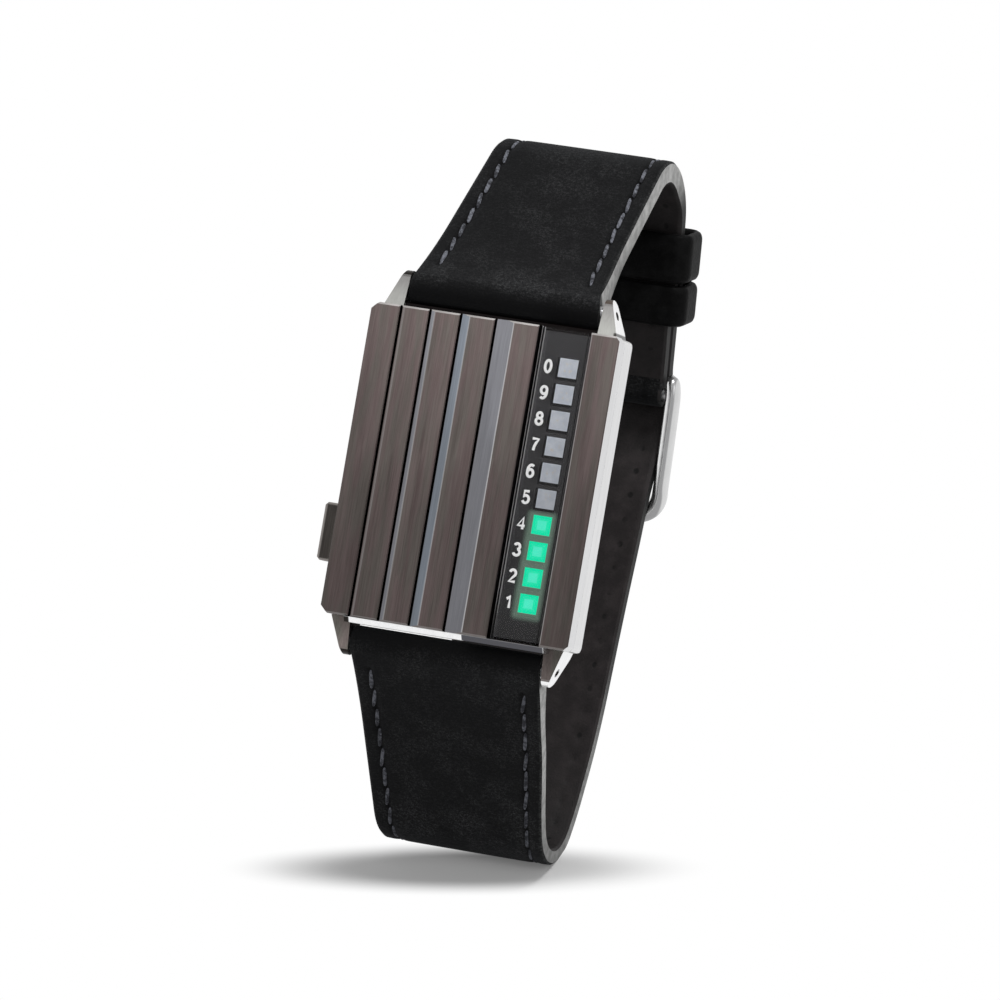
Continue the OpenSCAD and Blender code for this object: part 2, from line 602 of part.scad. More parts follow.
module upper_strap() color("Black") difference() {
  union() {
    in_side() band([for (i = [0:len(upper_path) - 1]) let (p = upper_path[i])
      [p[0], p[1], p[2], taper(upper_len[i]), thick(upper_len[i])]], 0.3);
    in_side() translate([0, upper_pin[0], upper_pin[1]])
      rod(loop_r, -strap_w / 2, strap_w / 2, $fn = 40);
    at_bar(0) rod(end_loop_r, -end_w, end_w, $fn = 36);
  }
  in_side() translate([0, upper_pin[0], upper_pin[1]])
    rod(tube_r + pin_clear, -20, 20, $fn = 32);
  at_bar(0) rod(pin_r + pin_clear, -20, 20, $fn = 32);
  at_bar(upper_fall) translate([-tongue_w / 2 - 0.35, -2.4, -5])
    cube([tongue_w + 0.7, 8, 10]);
}

// Place and heading on the lower strap at distance s from the lugs
function spot(s, i = 1) = lower_len[i] >= s || i >= len(lower_len) - 1
  ? let (k = (s - lower_len[i - 1]) / (lower_len[i] - lower_len[i - 1]))
    lower_path[i - 1] * (1 - k) + lower_path[i] * k
  : spot(s, i + 1);
tongue_s = lower_len[len(lower_d) - 1] - 4;
tail_s = lower_len[len(lower_len) - 1];
module lower_strap() color("Black") difference() {
  union() {
    in_side() band([for (i = [0:len(lower_path) - 1])
      let (p = lower_path[i], s = lower_len[i])
      [p[0], p[1], p[2], taper(s) * tip(tail_s - s), thick(s)]], 0.3);
    in_side() translate([0, lower_pin[0], lower_pin[1]])
      rod(loop_r, -strap_w / 2, strap_w / 2, $fn = 40);
  }
  in_side() translate([0, lower_pin[0], lower_pin[1]])
    rod(tube_r + pin_clear, -20, 20, $fn = 32);
  translate([-30, -60, -10]) cube([60, 120, 10]);
  // Adjustment holes, and the one drawn out long by the tongue
  in_side() for (k = [-3, -2, -1, 1, 2]) let (p = spot(tongue_s + k * hole_pitch))
    translate([0, p[0], p[1]]) rotate([p[2], 0, 0])
      translate([0, 0, -4]) cylinder(8, hole_r, hole_r, $fn = 24);
  at_bar(frame_fall) across(tongue_w + 0.5) hull() {
    arm(0.2);
    rotate(11) arm(0.2);
  }
}

mid_case();
left_bar();
slat_2();
slat_3();
slat_4();
slat_5();
right_bar();
display_lens();
light_guide();
light_tiles();
led_chips();
module_board();
module_holder();
coin_cell();
cell_clip();
case_back();
back_gasket();
back_screws();
pusher();
pusher_spring();
pusher_seal();
pusher_clip();
top_bar_tube();
top_bar_spring();
top_left_tip();
top_right_tip();
low_bar_tube();
low_bar_spring();
low_left_tip();
low_right_tip();
upper_strap();
lower_strap();
fixed_keeper();
free_keeper();
buckle_frame();
buckle_tongue();
buckle_bar();
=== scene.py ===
from bisect import bisect_right
from math import atan2, cos, exp, pi, radians, sin, sqrt
import bmesh
import bpy
from mathutils import Euler, Matrix, Vector


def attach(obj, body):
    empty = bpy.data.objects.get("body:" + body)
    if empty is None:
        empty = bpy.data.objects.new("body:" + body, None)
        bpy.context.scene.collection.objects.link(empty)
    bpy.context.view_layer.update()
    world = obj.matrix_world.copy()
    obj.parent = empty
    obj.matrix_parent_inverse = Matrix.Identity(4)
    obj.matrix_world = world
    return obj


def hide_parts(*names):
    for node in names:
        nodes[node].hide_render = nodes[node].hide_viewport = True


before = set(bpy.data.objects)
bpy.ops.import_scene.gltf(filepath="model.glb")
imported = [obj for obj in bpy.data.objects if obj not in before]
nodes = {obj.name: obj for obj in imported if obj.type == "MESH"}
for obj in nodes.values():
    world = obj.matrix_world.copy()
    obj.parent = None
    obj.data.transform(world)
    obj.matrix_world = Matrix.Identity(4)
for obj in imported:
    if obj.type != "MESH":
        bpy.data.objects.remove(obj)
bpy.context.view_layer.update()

scene = bpy.context.scene
mm = 0.001

# Where the case sits: u across the dial, v along it, n out of it, all in mm
casePlace = {"y": -4.30081, "z": 50.8318, "lean": 30.0}
caseTurn = Euler((radians(90 - casePlace["lean"]), 0, 0)).to_matrix()
caseSpot = Vector((0, casePlace["y"], casePlace["z"]))
caseNormal = caseTurn @ Vector((0, 0, 1))


def inCase(u, v, n):
    return (caseSpot + caseTurn @ Vector((u, v, n))) * mm


def inSide(x, y, z):
    return (caseSpot + Vector((x, y, z))) * mm


# Camera where the photographer stood, with a long lens
view = {"turn": 19.534, "tilt": 26.172, "distance": 900.106, "focal": 7536.189,
        "aside": 2.783, "up": -0.895, "target": (0, 14.341, 37.986)}
turn, tilt = radians(view["turn"]), radians(view["tilt"])
lookDir = Vector((-sin(turn) * cos(tilt), cos(turn) * cos(tilt), -sin(tilt)))
sideDir = Vector((cos(turn), sin(turn), 0))
upDir = sideDir.cross(lookDir)
camera = bpy.data.objects.new("camera", bpy.data.cameras.new("camera"))
scene.collection.objects.link(camera)
camera.data.lens = view["focal"] / 1000 * 36
camera.data.sensor_width = 36
camera.data.clip_start = 0.05
camera.location = (Vector(view["target"]) - lookDir * view["distance"]
                   - sideDir * view["aside"] - upDir * view["up"]) * mm
camera.rotation_mode = "QUATERNION"
camera.rotation_quaternion = Matrix((sideDir, upDir, -lookDir)).transposed().to_quaternion()
scene.camera = camera
print("camera set")


# Small helpers for node trees
def addNode(tree, kind, inputs=None, **settings):
    made = tree.nodes.new("ShaderNode" + kind)
    for key, value in settings.items():
        setattr(made, key, value)
    for key, value in (inputs or {}).items():
        if isinstance(value, bpy.types.NodeSocket):
            tree.links.new(value, made.inputs[key])
        else:
            made.inputs[key].default_value = value
    return made


def calc(tree, operation, a, b=0.0, c=0.0):
    return addNode(tree, "Math", {0: a, 1: b, 2: c}, operation=operation).outputs[0]


def plus(tree, a, b):
    return calc(tree, "ADD", a, b)


def minus(tree, a, b):
    return calc(tree, "SUBTRACT", a, b)


def times(tree, first, *others):
    for other in others:
        first = calc(tree, "MULTIPLY", first, other)
    return first


def larger(tree, a, b):
    return calc(tree, "MAXIMUM", a, b)


def apart(tree, a, b=0.0):
    return calc(tree, "ABSOLUTE", minus(tree, a, b))


def hypotenuse(tree, a, b):
    return calc(tree, "SQRT", plus(tree, times(tree, a, a), times(tree, b, b)))


def blendColour(tree, amount, a, b, mode="MIX"):
    return addNode(tree, "Mix", {0: amount, 6: a, 7: b}, data_type="RGBA",
                   blend_type=mode).outputs[2]


def fade(tree, value, low, high, toLow=0.0, toHigh=1.0):
    return addNode(tree, "MapRange", {"Value": value, "From Min": low, "From Max": high,
                                      "To Min": toLow, "To Max": toHigh},
                   interpolation_type="SMOOTHSTEP").outputs[0]


def noise(tree, vector, scale, detail=3.0, roughness=0.55):
    return addNode(tree, "TexNoise", {"Vector": vector, "Scale": scale, "Detail": detail,
                                      "Roughness": roughness}).outputs["Fac"]


def objectMm(tree):
    coords = addNode(tree, "TexCoord").outputs["Object"]
    return addNode(tree, "Mapping", {"Vector": coords, "Scale": (1000, 1000, 1000)}).outputs[0]


# Coordinates in mm along the case, for patterns that follow the slats
def caseMm(tree):
    coords = addNode(tree, "TexCoord").outputs["Object"]
    shift = caseTurn.transposed() @ caseSpot
    return addNode(tree, "Mapping", {"Vector": coords, "Location": -shift,
                                     "Rotation": (-radians(90 - casePlace["lean"]), 0, 0),
                                     "Scale": (1000, 1000, 1000)}).outputs[0]


def scaled(tree, vector, stretch):
    return addNode(tree, "Mapping", {"Vector": vector, "Scale": stretch}).outputs[0]


def parts(tree, vector):
    return addNode(tree, "SeparateXYZ", {0: vector}).outputs


def facing(tree, direction):
    normal = addNode(tree, "TexCoord").outputs["Normal"]
    return addNode(tree, "VectorMath", {0: normal, 1: direction},
                   operation="DOT_PRODUCT").outputs["Value"]


def bump(tree, shader, height, strength, distance):
    made = addNode(tree, "Bump", {"Height": height, "Strength": strength,
                                  "Distance": distance * mm})
    tree.links.new(made.outputs[0], shader.inputs["Normal"])


def newMaterial(name, **sockets):
    made = bpy.data.materials.new(name)
    made.use_nodes = True
    tree = made.node_tree
    shader = tree.nodes["Principled BSDF"]
    for key, value in sockets.items():
        shader.inputs[key.replace("_", " ")].default_value = value
    return made, tree, shader


def wire(tree, value, shader, socket):
    tree.links.new(value, shader.inputs[socket])


# Sum of narrow lines across the dial, each (place, half width, strength)
def linesAcross(tree, u, rows):
    total = None
    for place, half, strength in rows:
        line = fade(tree, apart(tree, u, place), half, 0.45 * half, 0.0, strength)
        total = line if total is None else larger(tree, total, line)
    return total


# Brushed dark plated steel of the slats, with painted highlights on the ridges and on the bevelled ends
slatLook = {"dark": (0.074, 0.062, 0.060, 1), "light": (0.118, 0.101, 0.098, 1),
            "warm": (1.08, 0.985, 0.99, 1), "olive": (0.97, 1.0, 0.95, 1),
            "flank": (0.212, 0.213, 0.232, 1), "flankBlue": (0.205, 0.228, 0.262, 1),
            "firstFlankReflection": (0.150, 0.126, 0.121, 1), "gap": (0.006, 0.005, 0.005, 1),
            "edge": (0.46, 0.44, 0.43, 1), "ridgeHighlight": (0.60, 0.60, 0.61, 1),
            "wall": (0.765, 0.765, 0.775, 1), "brushLines": 9.0, "sides": 15.2,
            "shadeAlong": (-8.0, 22.0, 0.63, 1.06), "highlightAcross": (-2.0, 9.6, 6.0),
            "highlightAlong": (-18.0, 10.0, 0.2, 0.06), "blueFrom": -4.3, "blueTo": -3.0,
            "firstEnds": (-9.0, -9.4), "flankAlong": (-20.0, 22.0, 0.68, 0.89),
            "flankFacing": (0.985, 0.972), "topFacing": (0.90, 0.93),
            "ridgeHighlights": ((-11.44, 0.16, 0.10), (-7.57, 0.13, 0.16), (-3.16, 0.12, 0.22),
                       (2.48, 0.11, 0.38), (12.08, 0.10, 0.25))}


def brushing(tree, vector, across):
    fine = noise(tree, scaled(tree, vector, (across, 0.22, across)), 1.0, 4.0, 0.7)
    broad = noise(tree, scaled(tree, vector, (1.3, 0.06, 1.3)), 1.0, 2.0)
    return plus(tree, times(tree, fine, 0.65), times(tree, broad, 0.35))


def scaleColour(tree, colour, amount):
    start = colour[:3] if isinstance(colour, tuple) else colour
    return addNode(tree, "VectorMath", {0: start, 3: amount}, operation="SCALE").outputs[0]


def plated(tree, vector, grain):
    colour = blendColour(tree, fade(tree, grain, 0.3, 0.7), slatLook["dark"], slatLook["light"])
    tint = noise(tree, scaled(tree, vector, (0.9, 0.11, 0.9)), 1.0, 2.0)
    tint = blendColour(tree, fade(tree, tint, 0.35, 0.65), slatLook["warm"], slatLook["olive"])
    colour = blendColour(tree, 1.0, colour, tint, "MULTIPLY")
    return scaleColour(tree, colour, fade(tree, parts(tree, vector)[1], *slatLook["shadeAlong"]))


def makeSlatSteel():
    made, tree, shader = newMaterial("slatSteel", Metallic=1.0, Anisotropic=0.5)
    vector = caseMm(tree)
    u, v = parts(tree, vector)[:2]
    grain = brushing(tree, vector, slatLook["brushLines"])
    # A band across the middle of the slats is lifted, most towards the bottom: a painted highlight
    middle, faint, full = slatLook["highlightAcross"]
    nearHighlight = fade(tree, apart(tree, u, middle), faint, full)
    lift = plus(tree, 0.94, times(tree, nearHighlight, fade(tree, v, *slatLook["highlightAlong"])))
    colour = scaleColour(tree, plated(tree, vector, grain), lift)
    # Flanks: painted reflection, greyer than the tops, one of them blue, the first one warm, and painted
    # shade towards the bottom
    front = facing(tree, caseNormal)
    onTop = fade(tree, front, *slatLook["topFacing"])
    blue = times(tree, fade(tree, u, slatLook["blueFrom"] - 0.2, slatLook["blueFrom"] + 0.1),
                 fade(tree, u, slatLook["blueTo"] + 0.2, slatLook["blueTo"]))
    flank = blendColour(tree, blue, slatLook["flank"], slatLook["flankBlue"])
    flank = blendColour(tree, fade(tree, u, *slatLook["firstEnds"]), flank, slatLook["firstFlankReflection"])
    flank = scaleColour(tree, flank, times(tree, fade(tree, grain, 0.3, 0.7, 0.86, 1.12),
                                           fade(tree, v, *slatLook["flankAlong"])))
    colour = blendColour(tree, times(tree, fade(tree, front, *slatLook["flankFacing"]), onTop), colour, flank)
    # Ridges: painted highlight lines, broken up by the brushing
    sheenAndWear = times(tree, linesAcross(tree, u, slatLook["ridgeHighlights"]), onTop,
                 fade(tree, brushing(tree, vector, 3.0), 0.3, 0.6, 0.65, 1.0))
    colour = blendColour(tree, sheenAndWear, colour, slatLook["ridgeHighlight"])
    # Walls: painted black shade in the gaps between slats, bright steel elsewhere
    sideways = apart(tree, facing(tree, Vector((1, 0, 0))))
    outer = fade(tree, apart(tree, u), slatLook["sides"] - 0.1, slatLook["sides"] + 0.1)
    steep = fade(tree, front, 0.5, 0.3)
    gapShade = times(tree, steep, fade(tree, sideways, 0.8, 0.9), minus(tree, 1.0, outer))
    colour = blendColour(tree, gapShade, colour, slatLook["gap"])
    colour = blendColour(tree, times(tree, steep, minus(tree, 1.0, gapShade)), colour,
                         scaleColour(tree, slatLook["wall"], fade(tree, grain, 0.25, 0.75, 0.85, 1.0)))
    # Bevels across the slats' ends: painted highlight, brighter at the top
    bevelHighlight = times(tree, fade(tree, front, 0.93, 0.90), fade(tree, front, 0.3, 0.5),
                  fade(tree, sideways, 0.5, 0.3), fade(tree, v, -1.0, 1.0, 0.25, 0.8))
    colour = blendColour(tree, bevelHighlight, colour, slatLook["edge"])
    wire(tree, colour, shader, "Base Color")
    wire(tree, calc(tree, "MULTIPLY_ADD", grain, 0.2, 0.26), shader, "Roughness")
    bump(tree, shader, grain, 0.25, 0.02)
    return made


# Bare steel of the case body: bright walls, pale upper lugs and plated lower lugs with painted light and
# shade, and a deck painted black as shade
bodyLook = {"bright": (0.78, 0.78, 0.785, 1), "shade": (0.65, 0.65, 0.655, 1),
            "stepShade": (0.085, 0.085, 0.095, 1), "upperLugLit": (0.305, 0.305, 0.29, 1),
            "lugShade": (0.21, 0.203, 0.20, 1), "outline": (0.022, 0.019, 0.017, 1),
            "brown": (0.085, 0.068, 0.058, 1), "lugTint": (0.97, 1.05, 1.02, 1),
            "deck": (0.006, 0.005, 0.005, 1), "brushLines": 7.0, "end": 18.52, "lugInside": 12.0,
            "deckTop": -1.25, "stepFrom": 2.41, "stepTo": 11.95, "stepEnd": (-18.4, -18.6),
            "corner": (12.1, 0.5, 1.0), "notchShadow": (18.75, 0.35, 0.9), "notchSide": (13.85, 14.05),
            "leftSide": (-13.3, -12.9), "lowLugLightAcross": (-12.0, 12.0, 2.3, 1.42),
            "lowLugLightAlong": (-18.6, -22.5, 0.7, 1.35), "upperLugLightAcross": (-12.0, 12.0, 0.78, 1.15)}


def makeCaseSteel():
    made, tree, shader = newMaterial("caseSteel", Metallic=1.0, Anisotropic=0.3)
    vector = caseMm(tree)
    u, v, n = parts(tree, vector)
    end, inside, deckTop = bodyLook["end"], bodyLook["lugInside"], bodyLook["deckTop"]
    grain = brushing(tree, vector, bodyLook["brushLines"])
    # Walls and the lugs' sides: bright, with brown upper tips and painted shade on the inner sides at the
    # left
    bright = blendColour(tree, fade(tree, grain, 0.25, 0.75), bodyLook["shade"], bodyLook["bright"])
    onLug = fade(tree, apart(tree, v), end - 0.1, end + 0.1)
    bright = scaleColour(tree, bright, calc(tree, "MULTIPLY_ADD", onLug, 0.24, 1.0))
    tip = fade(tree, apart(tree, facing(tree, Vector((1, 0, 0)))), 0.75, 0.6)
    bright = blendColour(tree, times(tree, tip, onLug, fade(tree, v, -1.0, 1.0)), bright, bodyLook["brown"])
    left = times(tree, fade(tree, u, 0.2 - inside, -inside), fade(tree, u, *bodyLook["leftSide"]), onLug)
    bright = blendColour(tree, left, bright, bodyLook["outline"])
    # Faces that look to the front: plated lower lugs with painted light, brighter at the left and towards
    # their tips; pale upper lugs with painted light, brighter at the right and darker towards their tips; the
    # deck painted black as shade
    lowLug = scaleColour(tree, plated(tree, vector, grain), fade(tree, u, *bodyLook["lowLugLightAcross"]))
    lowLug = scaleColour(tree, lowLug, fade(tree, v, *bodyLook["lowLugLightAlong"]))
    lowLug = blendColour(tree, 1.0, lowLug, bodyLook["lugTint"], "MULTIPLY")
    upperLug = blendColour(tree, fade(tree, v, 19.0, 22.5), bodyLook["upperLugLit"], bodyLook["lugShade"])
    upperLug = scaleColour(tree, upperLug, times(tree, fade(tree, grain, 0.3, 0.7, 0.9, 1.08),
                                                 fade(tree, u, *bodyLook["upperLugLightAcross"])))
    dark = blendColour(tree, fade(tree, v, end - 0.1, end + 0.1), lowLug, upperLug)
    deep = times(tree, fade(tree, apart(tree, v), end, end - 0.2),
                 fade(tree, n, deckTop + 0.05, deckTop - 0.05))
    dark = blendColour(tree, deep, dark, bodyLook["deck"])
    colour = blendColour(tree, fade(tree, facing(tree, caseNormal), 0.80, 0.90), bright, dark)
    # Between the upper lugs, at the case's top end, painted black as shade
    betweenLugsShade = times(tree, fade(tree, v, end - 0.2, end - 0.1),
                   fade(tree, apart(tree, u), inside, inside - 0.1))
    colour = blendColour(tree, betweenLugsShade, colour, bodyLook["deck"])
    # A painted shadow line at the notch between the upper right lug and the case side
    notchShadow = times(tree, fade(tree, u, *bodyLook["notchSide"]), linesAcross(tree, v, (bodyLook["notchShadow"],)))
    colour = blendColour(tree, notchShadow, colour, bodyLook["outline"])
    # Painted shade on the step under the display, and on the corner beside it
    lowEnd = fade(tree, v, *bodyLook["stepEnd"])
    step = times(tree, fade(tree, u, bodyLook["stepFrom"] - 0.03, bodyLook["stepFrom"] + 0.03),
                 fade(tree, u, bodyLook["stepTo"] + 0.05, bodyLook["stepTo"] - 0.05), lowEnd)
    corner = times(tree, linesAcross(tree, u, (bodyLook["corner"],)), lowEnd, fade(tree, v, -20.0, -19.6),
                   fade(tree, facing(tree, caseNormal), 0.9, 0.8))
    colour = blendColour(tree, larger(tree, step, corner), colour, bodyLook["stepShade"])
    wire(tree, colour, shader, "Base Color")
    wire(tree, calc(tree, "MULTIPLY_ADD", grain, 0.16, 0.24), shader, "Roughness")
    bump(tree, shader, grain, 0.2, 0.02)
    return made


# Plated pusher: dark face, with a painted highlight along its rims
pusherLook = {"dark": (0.019, 0.017, 0.0155, 1), "light": (0.040, 0.036, 0.033, 1),
              "rim": (0.20, 0.185, 0.175, 1), "brushLines": 8.0, "middle": -9.0, "half": 3.45,
              "outer": -17.7}


def makePusherSteel():
    made, tree, shader = newMaterial("pusherSteel", Metallic=1.0, Anisotropic=0.3)
    vector = caseMm(tree)
    u, v = parts(tree, vector)[:2]
    grain = brushing(tree, vector, pusherLook["brushLines"])
    colour = blendColour(tree, fade(tree, grain, 0.3, 0.7), pusherLook["dark"], pusherLook["light"])
    end, outer = pusherLook["half"], pusherLook["outer"]
    rim = larger(tree, fade(tree, apart(tree, v, pusherLook["middle"]), end - 0.35, end - 0.12),
                 fade(tree, u, outer + 0.35, outer + 0.12))
    colour = blendColour(tree, times(tree, rim, 0.7), colour, pusherLook["rim"])
    wire(tree, colour, shader, "Base Color")
    wire(tree, calc(tree, "MULTIPLY_ADD", grain, 0.15, 0.27), shader, "Roughness")
    bump(tree, shader, grain, 0.2, 0.02)
    return made


# Light windows, four lit and six grey; the panel round them and the lens over them
lampLook = {"pitch": 3.09, "across": 9.4146, "lastUnlit": -3.09, "window": 2.5,
            "asideU": 0.09, "asideV": 0.15, "seenHalf": 1.13, "haloTint": (0.5, 0.8, 0.6, 1),
            "halo": 0.19, "haloReach": 0.9, "lit": (0.0, 0.84, 0.43, 1),
            "litRing": (0.012, 0.86, 0.47, 1), "litCentre": (0.08, 0.92, 0.62, 1),
            "litUnder": (0.0, 0.05, 0.03, 1), "ringFrom": (0.86, 0.78), "centreFrom": (0.60, 0.50),
            "unlit": (0.66, 0.705, 0.79, 1), "cloud": (0.76, 0.80, 0.875, 1),
            "speck": (0.84, 0.72, 0.56, 1), "greyAlong": (-4.0, 14.0, 0.78, 1.05),
            "greyRim": (0.9, 1.2, 1.0, 1.12), "panel": (0.014, 0.0135, 0.0145, 1),
            "panelLight": (0.032, 0.031, 0.033, 1), "panelLitAcross": (6.0, 6.7, 2.3, 1.0),
            "panelLitAlong": (-19.0, 19.0, 0.57, 1.85), "glass": (0.012, 0.012, 0.014, 1),
            "rim": (0.62, 0.61, 0.61, 1), "rims": ((5.96, 0.11, 0.75), (11.57, 0.08, 0.12)),
            "rimAlong": (-19.0, -12.0, 0.35, 1.0), "groove": (11.72, 0.16, 1.0)}


# Distances from the centre of the nearest window
def windowDistance(tree, u, v):
    awayU = apart(tree, u, lampLook["across"] + lampLook["asideU"])
    step = calc(tree, "DIVIDE", minus(tree, v, lampLook["asideV"]), lampLook["pitch"])
    awayV = apart(tree, calc(tree, "FRACT", plus(tree, step, 100.0)), 0.5)
    return awayU, times(tree, awayV, lampLook["pitch"])


def makeWindows():
    made, tree, shader = newMaterial("lightWindows", Roughness=0.4, Specular_IOR_Level=0.12)
    vector = caseMm(tree)
    u, v = parts(tree, vector)[:2]
    square = larger(tree, *windowDistance(tree, u, v))
    lit = fade(tree, v, lampLook["lastUnlit"] + 0.05, lampLook["lastUnlit"] - 0.05)
    cloud = noise(tree, vector, 1.1, 3.0)
    grey = blendColour(tree, fade(tree, cloud, 0.35, 0.65), lampLook["unlit"], lampLook["cloud"])
    spots = times(tree, fade(tree, square, 0.75, 0.35),
                  fade(tree, noise(tree, vector, 2.3, 2.0), 0.52, 0.68), 0.5)
    grey = blendColour(tree, spots, grey, lampLook["speck"])
    grey = scaleColour(tree, grey, times(tree, fade(tree, v, *lampLook["greyAlong"]),
                                         fade(tree, square, *lampLook["greyRim"])))
    green = blendColour(tree, fade(tree, square, *lampLook["ringFrom"]), lampLook["lit"], lampLook["litRing"])
    green = blendColour(tree, fade(tree, square, *lampLook["centreFrom"]), green, lampLook["litCentre"])
    inside = fade(tree, square, lampLook["seenHalf"] + 0.03, lampLook["seenHalf"] - 0.03)
    shown = blendColour(tree, lit, grey, lampLook["litUnder"])
    wire(tree, blendColour(tree, inside, lampLook["panel"], shown), shader, "Base Color")
    wire(tree, blendColour(tree, inside, lampLook["haloTint"], green), shader, "Emission Color")
    power = times(tree, lit, fade(tree, cloud, 0.3, 0.7, 0.92, 0.98),
                  fade(tree, inside, 0.0, 1.0, lampLook["halo"] * 1.1, 1.0))
    wire(tree, power, shader, "Emission Strength")
    bump(tree, shader, cloud, 0.1, 0.05)
    return made


# Dark plate between the windows, with the lit ones' halo on it
def makePanel():
    made, tree, shader = newMaterial("displayPanel", Roughness=0.45, Specular_IOR_Level=0.25,
                                     Emission_Color=lampLook["haloTint"])
    vector = caseMm(tree)
    u, v = parts(tree, vector)[:2]
    speck = noise(tree, vector, 6.0, 4.0)
    colour = blendColour(tree, speck, lampLook["panel"], lampLook["panelLight"])
    # Painted light: the plate is lighter in a band along its left edge, against the shadow of the slat beside
    # it, and lighter towards the top
    colour = scaleColour(tree, colour, fade(tree, u, *lampLook["panelLitAcross"]))
    wire(tree, scaleColour(tree, colour, fade(tree, v, *lampLook["panelLitAlong"])), shader, "Base Color")
    half = lampLook["window"] / 2
    lowest, highest = -4.5 * lampLook["pitch"], -1.5 * lampLook["pitch"]
    middle, reach = (lowest + highest) / 2, (highest - lowest) / 2 + half
    outV = larger(tree, minus(tree, apart(tree, v, middle), reach), 0.0)
    outU = larger(tree, minus(tree, apart(tree, u, lampLook["across"]), half), 0.0)
    near = fade(tree, hypotenuse(tree, outU, outV), lampLook["haloReach"], 0.0)
    halo = calc(tree, "POWER", near, 1.2)
    wire(tree, times(tree, halo, lampLook["halo"]), shader, "Emission Strength")
    bump(tree, shader, speck, 0.1, 0.02)
    return made


def makeLens():
    made, tree, shader = newMaterial("displayLens", Roughness=0.16, IOR=1.45)
    vector = caseMm(tree)
    u, v = parts(tree, vector)[:2]
    haze = noise(tree, vector, 0.6, 2.0)
    front = fade(tree, facing(tree, caseNormal), 0.5, 0.7)
    # Painted highlight lines along the lens edges, fainter towards the bottom
    rim = times(tree, front, linesAcross(tree, u, lampLook["rims"]), fade(tree, v, *lampLook["rimAlong"]))
    tone = blendColour(tree, rim, lampLook["glass"], lampLook["rim"])
    # A painted shade line in the groove to the right of the lens
    groove = times(tree, front, linesAcross(tree, u, (lampLook["groove"],)))
    wire(tree, blendColour(tree, groove, tone, slatLook["gap"]), shader, "Base Color")
    solid = larger(tree, rim, groove)
    wire(tree, larger(tree, solid, calc(tree, "MULTIPLY_ADD", haze, 0.05, 0.05)), shader, "Alpha")
    bump(tree, shader, haze, 0.05, 0.05)
    return made


# Black nubuck with scuffs, its painted cut edge and its smooth lining
leatherLook = {"nap": (0.0030, 0.0030, 0.0032, 1), "scuff": (0.042, 0.0425, 0.044, 1),
               "edgeLight": (0.47, 0.47, 0.463, 1), "edgeDark": (0.27, 0.27, 0.266, 1),
               "lining": (0.0076, 0.0071, 0.0075, 1), "pit": (0.0012, 0.0012, 0.0012, 1),
               "edgeSheenAndWear": (0.05, 0.05, 0.05, 1), "edgeShade": (0.012, 0.012, 0.012, 1),
               "edgeFade": (8.0, 20.0), "bendFade": (72.0, 66.0), "edgeStart": (2.2, 1.4),
               "edgeShadeHeight": (2.0, 18.0, 0.6, 1.2), "lighterBelow": (43.6, 41.6),
               "liningTint": (1.08, 0.97, 0.94, 1), "rubbed": (1.2, 2.4, 0.6)}
# Stitch rows: distance in from the edge, pitch, how far each row runs, and its groove and pits
stitching = {"inset": 2.05, "pitch": 3.0, "length": 3.05, "width": 0.54, "height": 0.34,
             "slant": 7.0, "start": 3.0, "sunk": 0.165, "upperEnd": 58.0, "lowerEnd": 103.0,
             "grooveWide": 0.42, "grooveDeep": 0.16, "pitDeep": 0.22, "pitLong": 0.13,
             "pitAcross": 0.8, "bendSunk": 0.09, "bendAt": 29.0, "bendReach": 6.0}


def makeSuede():
    made, tree, shader = newMaterial("blackNubuck", Roughness=0.95, Sheen_Weight=0.03, Sheen_Roughness=0.6,
                                     Sheen_Tint=(0.75, 0.78, 0.85, 1), Specular_IOR_Level=0.1)
    vector = objectMm(tree)
    x, y, z = parts(tree, vector)
    patch = noise(tree, vector, 0.22, 4.0, 0.62)
    fibre = noise(tree, scaled(tree, vector, (1.0, 1.0, 1.6)), 2.6, 5.0, 0.75)
    weave = noise(tree, scaled(tree, vector, (0.7, 4.5, 4.5)), 1.3, 3.0, 0.7)
    speck = noise(tree, vector, 7.0, 2.0, 0.6)
    fromEdge, groove, pit, along = seamMarks(tree)
    # Scuffs: patches of raised nap, more of them beside the lugs and at the foot
    soft = times(tree, fade(tree, patch, 0.42, 0.62, 0.3, 1.0), fade(tree, fibre, 0.40, 0.62, 0.1, 1.0), 0.5)
    amount = calc(tree, "MULTIPLY_ADD", fade(tree, weave, 0.5, 0.7), 0.16, soft)
    raised = times(tree, fade(tree, z, 20.0, 60.0), linesAcross(tree, along, (leatherLook["rubbed"],)))
    amount = times(tree, amount, fade(tree, speck, 0.4, 0.6, 0.2, 1.4),
                   plus(tree, raised, fade(tree, z, 30.0, 60.0, 0.9, 0.95)),
                   fade(tree, along, -1.9, -0.5, 0.05, 1.0), fade(tree, z, 15.0, 5.0, 1.0, 1.7),
                   fade(tree, x, -8.0, -2.0, 0.82, 1.0))
    colour = blendColour(tree, amount, leatherLook["nap"], leatherLook["scuff"])
    # Painted shade along the stitch groove and in the stitch pits
    colour = scaleColour(tree, colour, minus(tree, 1.0, times(tree, groove, 0.45)))
    colour = blendColour(tree, times(tree, pit, 0.45), colour, leatherLook["pit"])
    # A lighter band along the edges: part wear, part painted sheen on the rounding
    sheenAndWear = times(tree, fade(tree, fromEdge, 0.4, 0.1), fade(tree, fibre, 0.4, 0.6, 0.1, 0.8),
                 fade(tree, along, 2.0, 4.0))
    wire(tree, blendColour(tree, sheenAndWear, colour, leatherLook["edgeSheenAndWear"]), shader, "Base Color")
    bump(tree, shader, plus(tree, times(tree, fibre, 0.7), times(tree, weave, 0.3)), 0.5, 0.1)
    return made


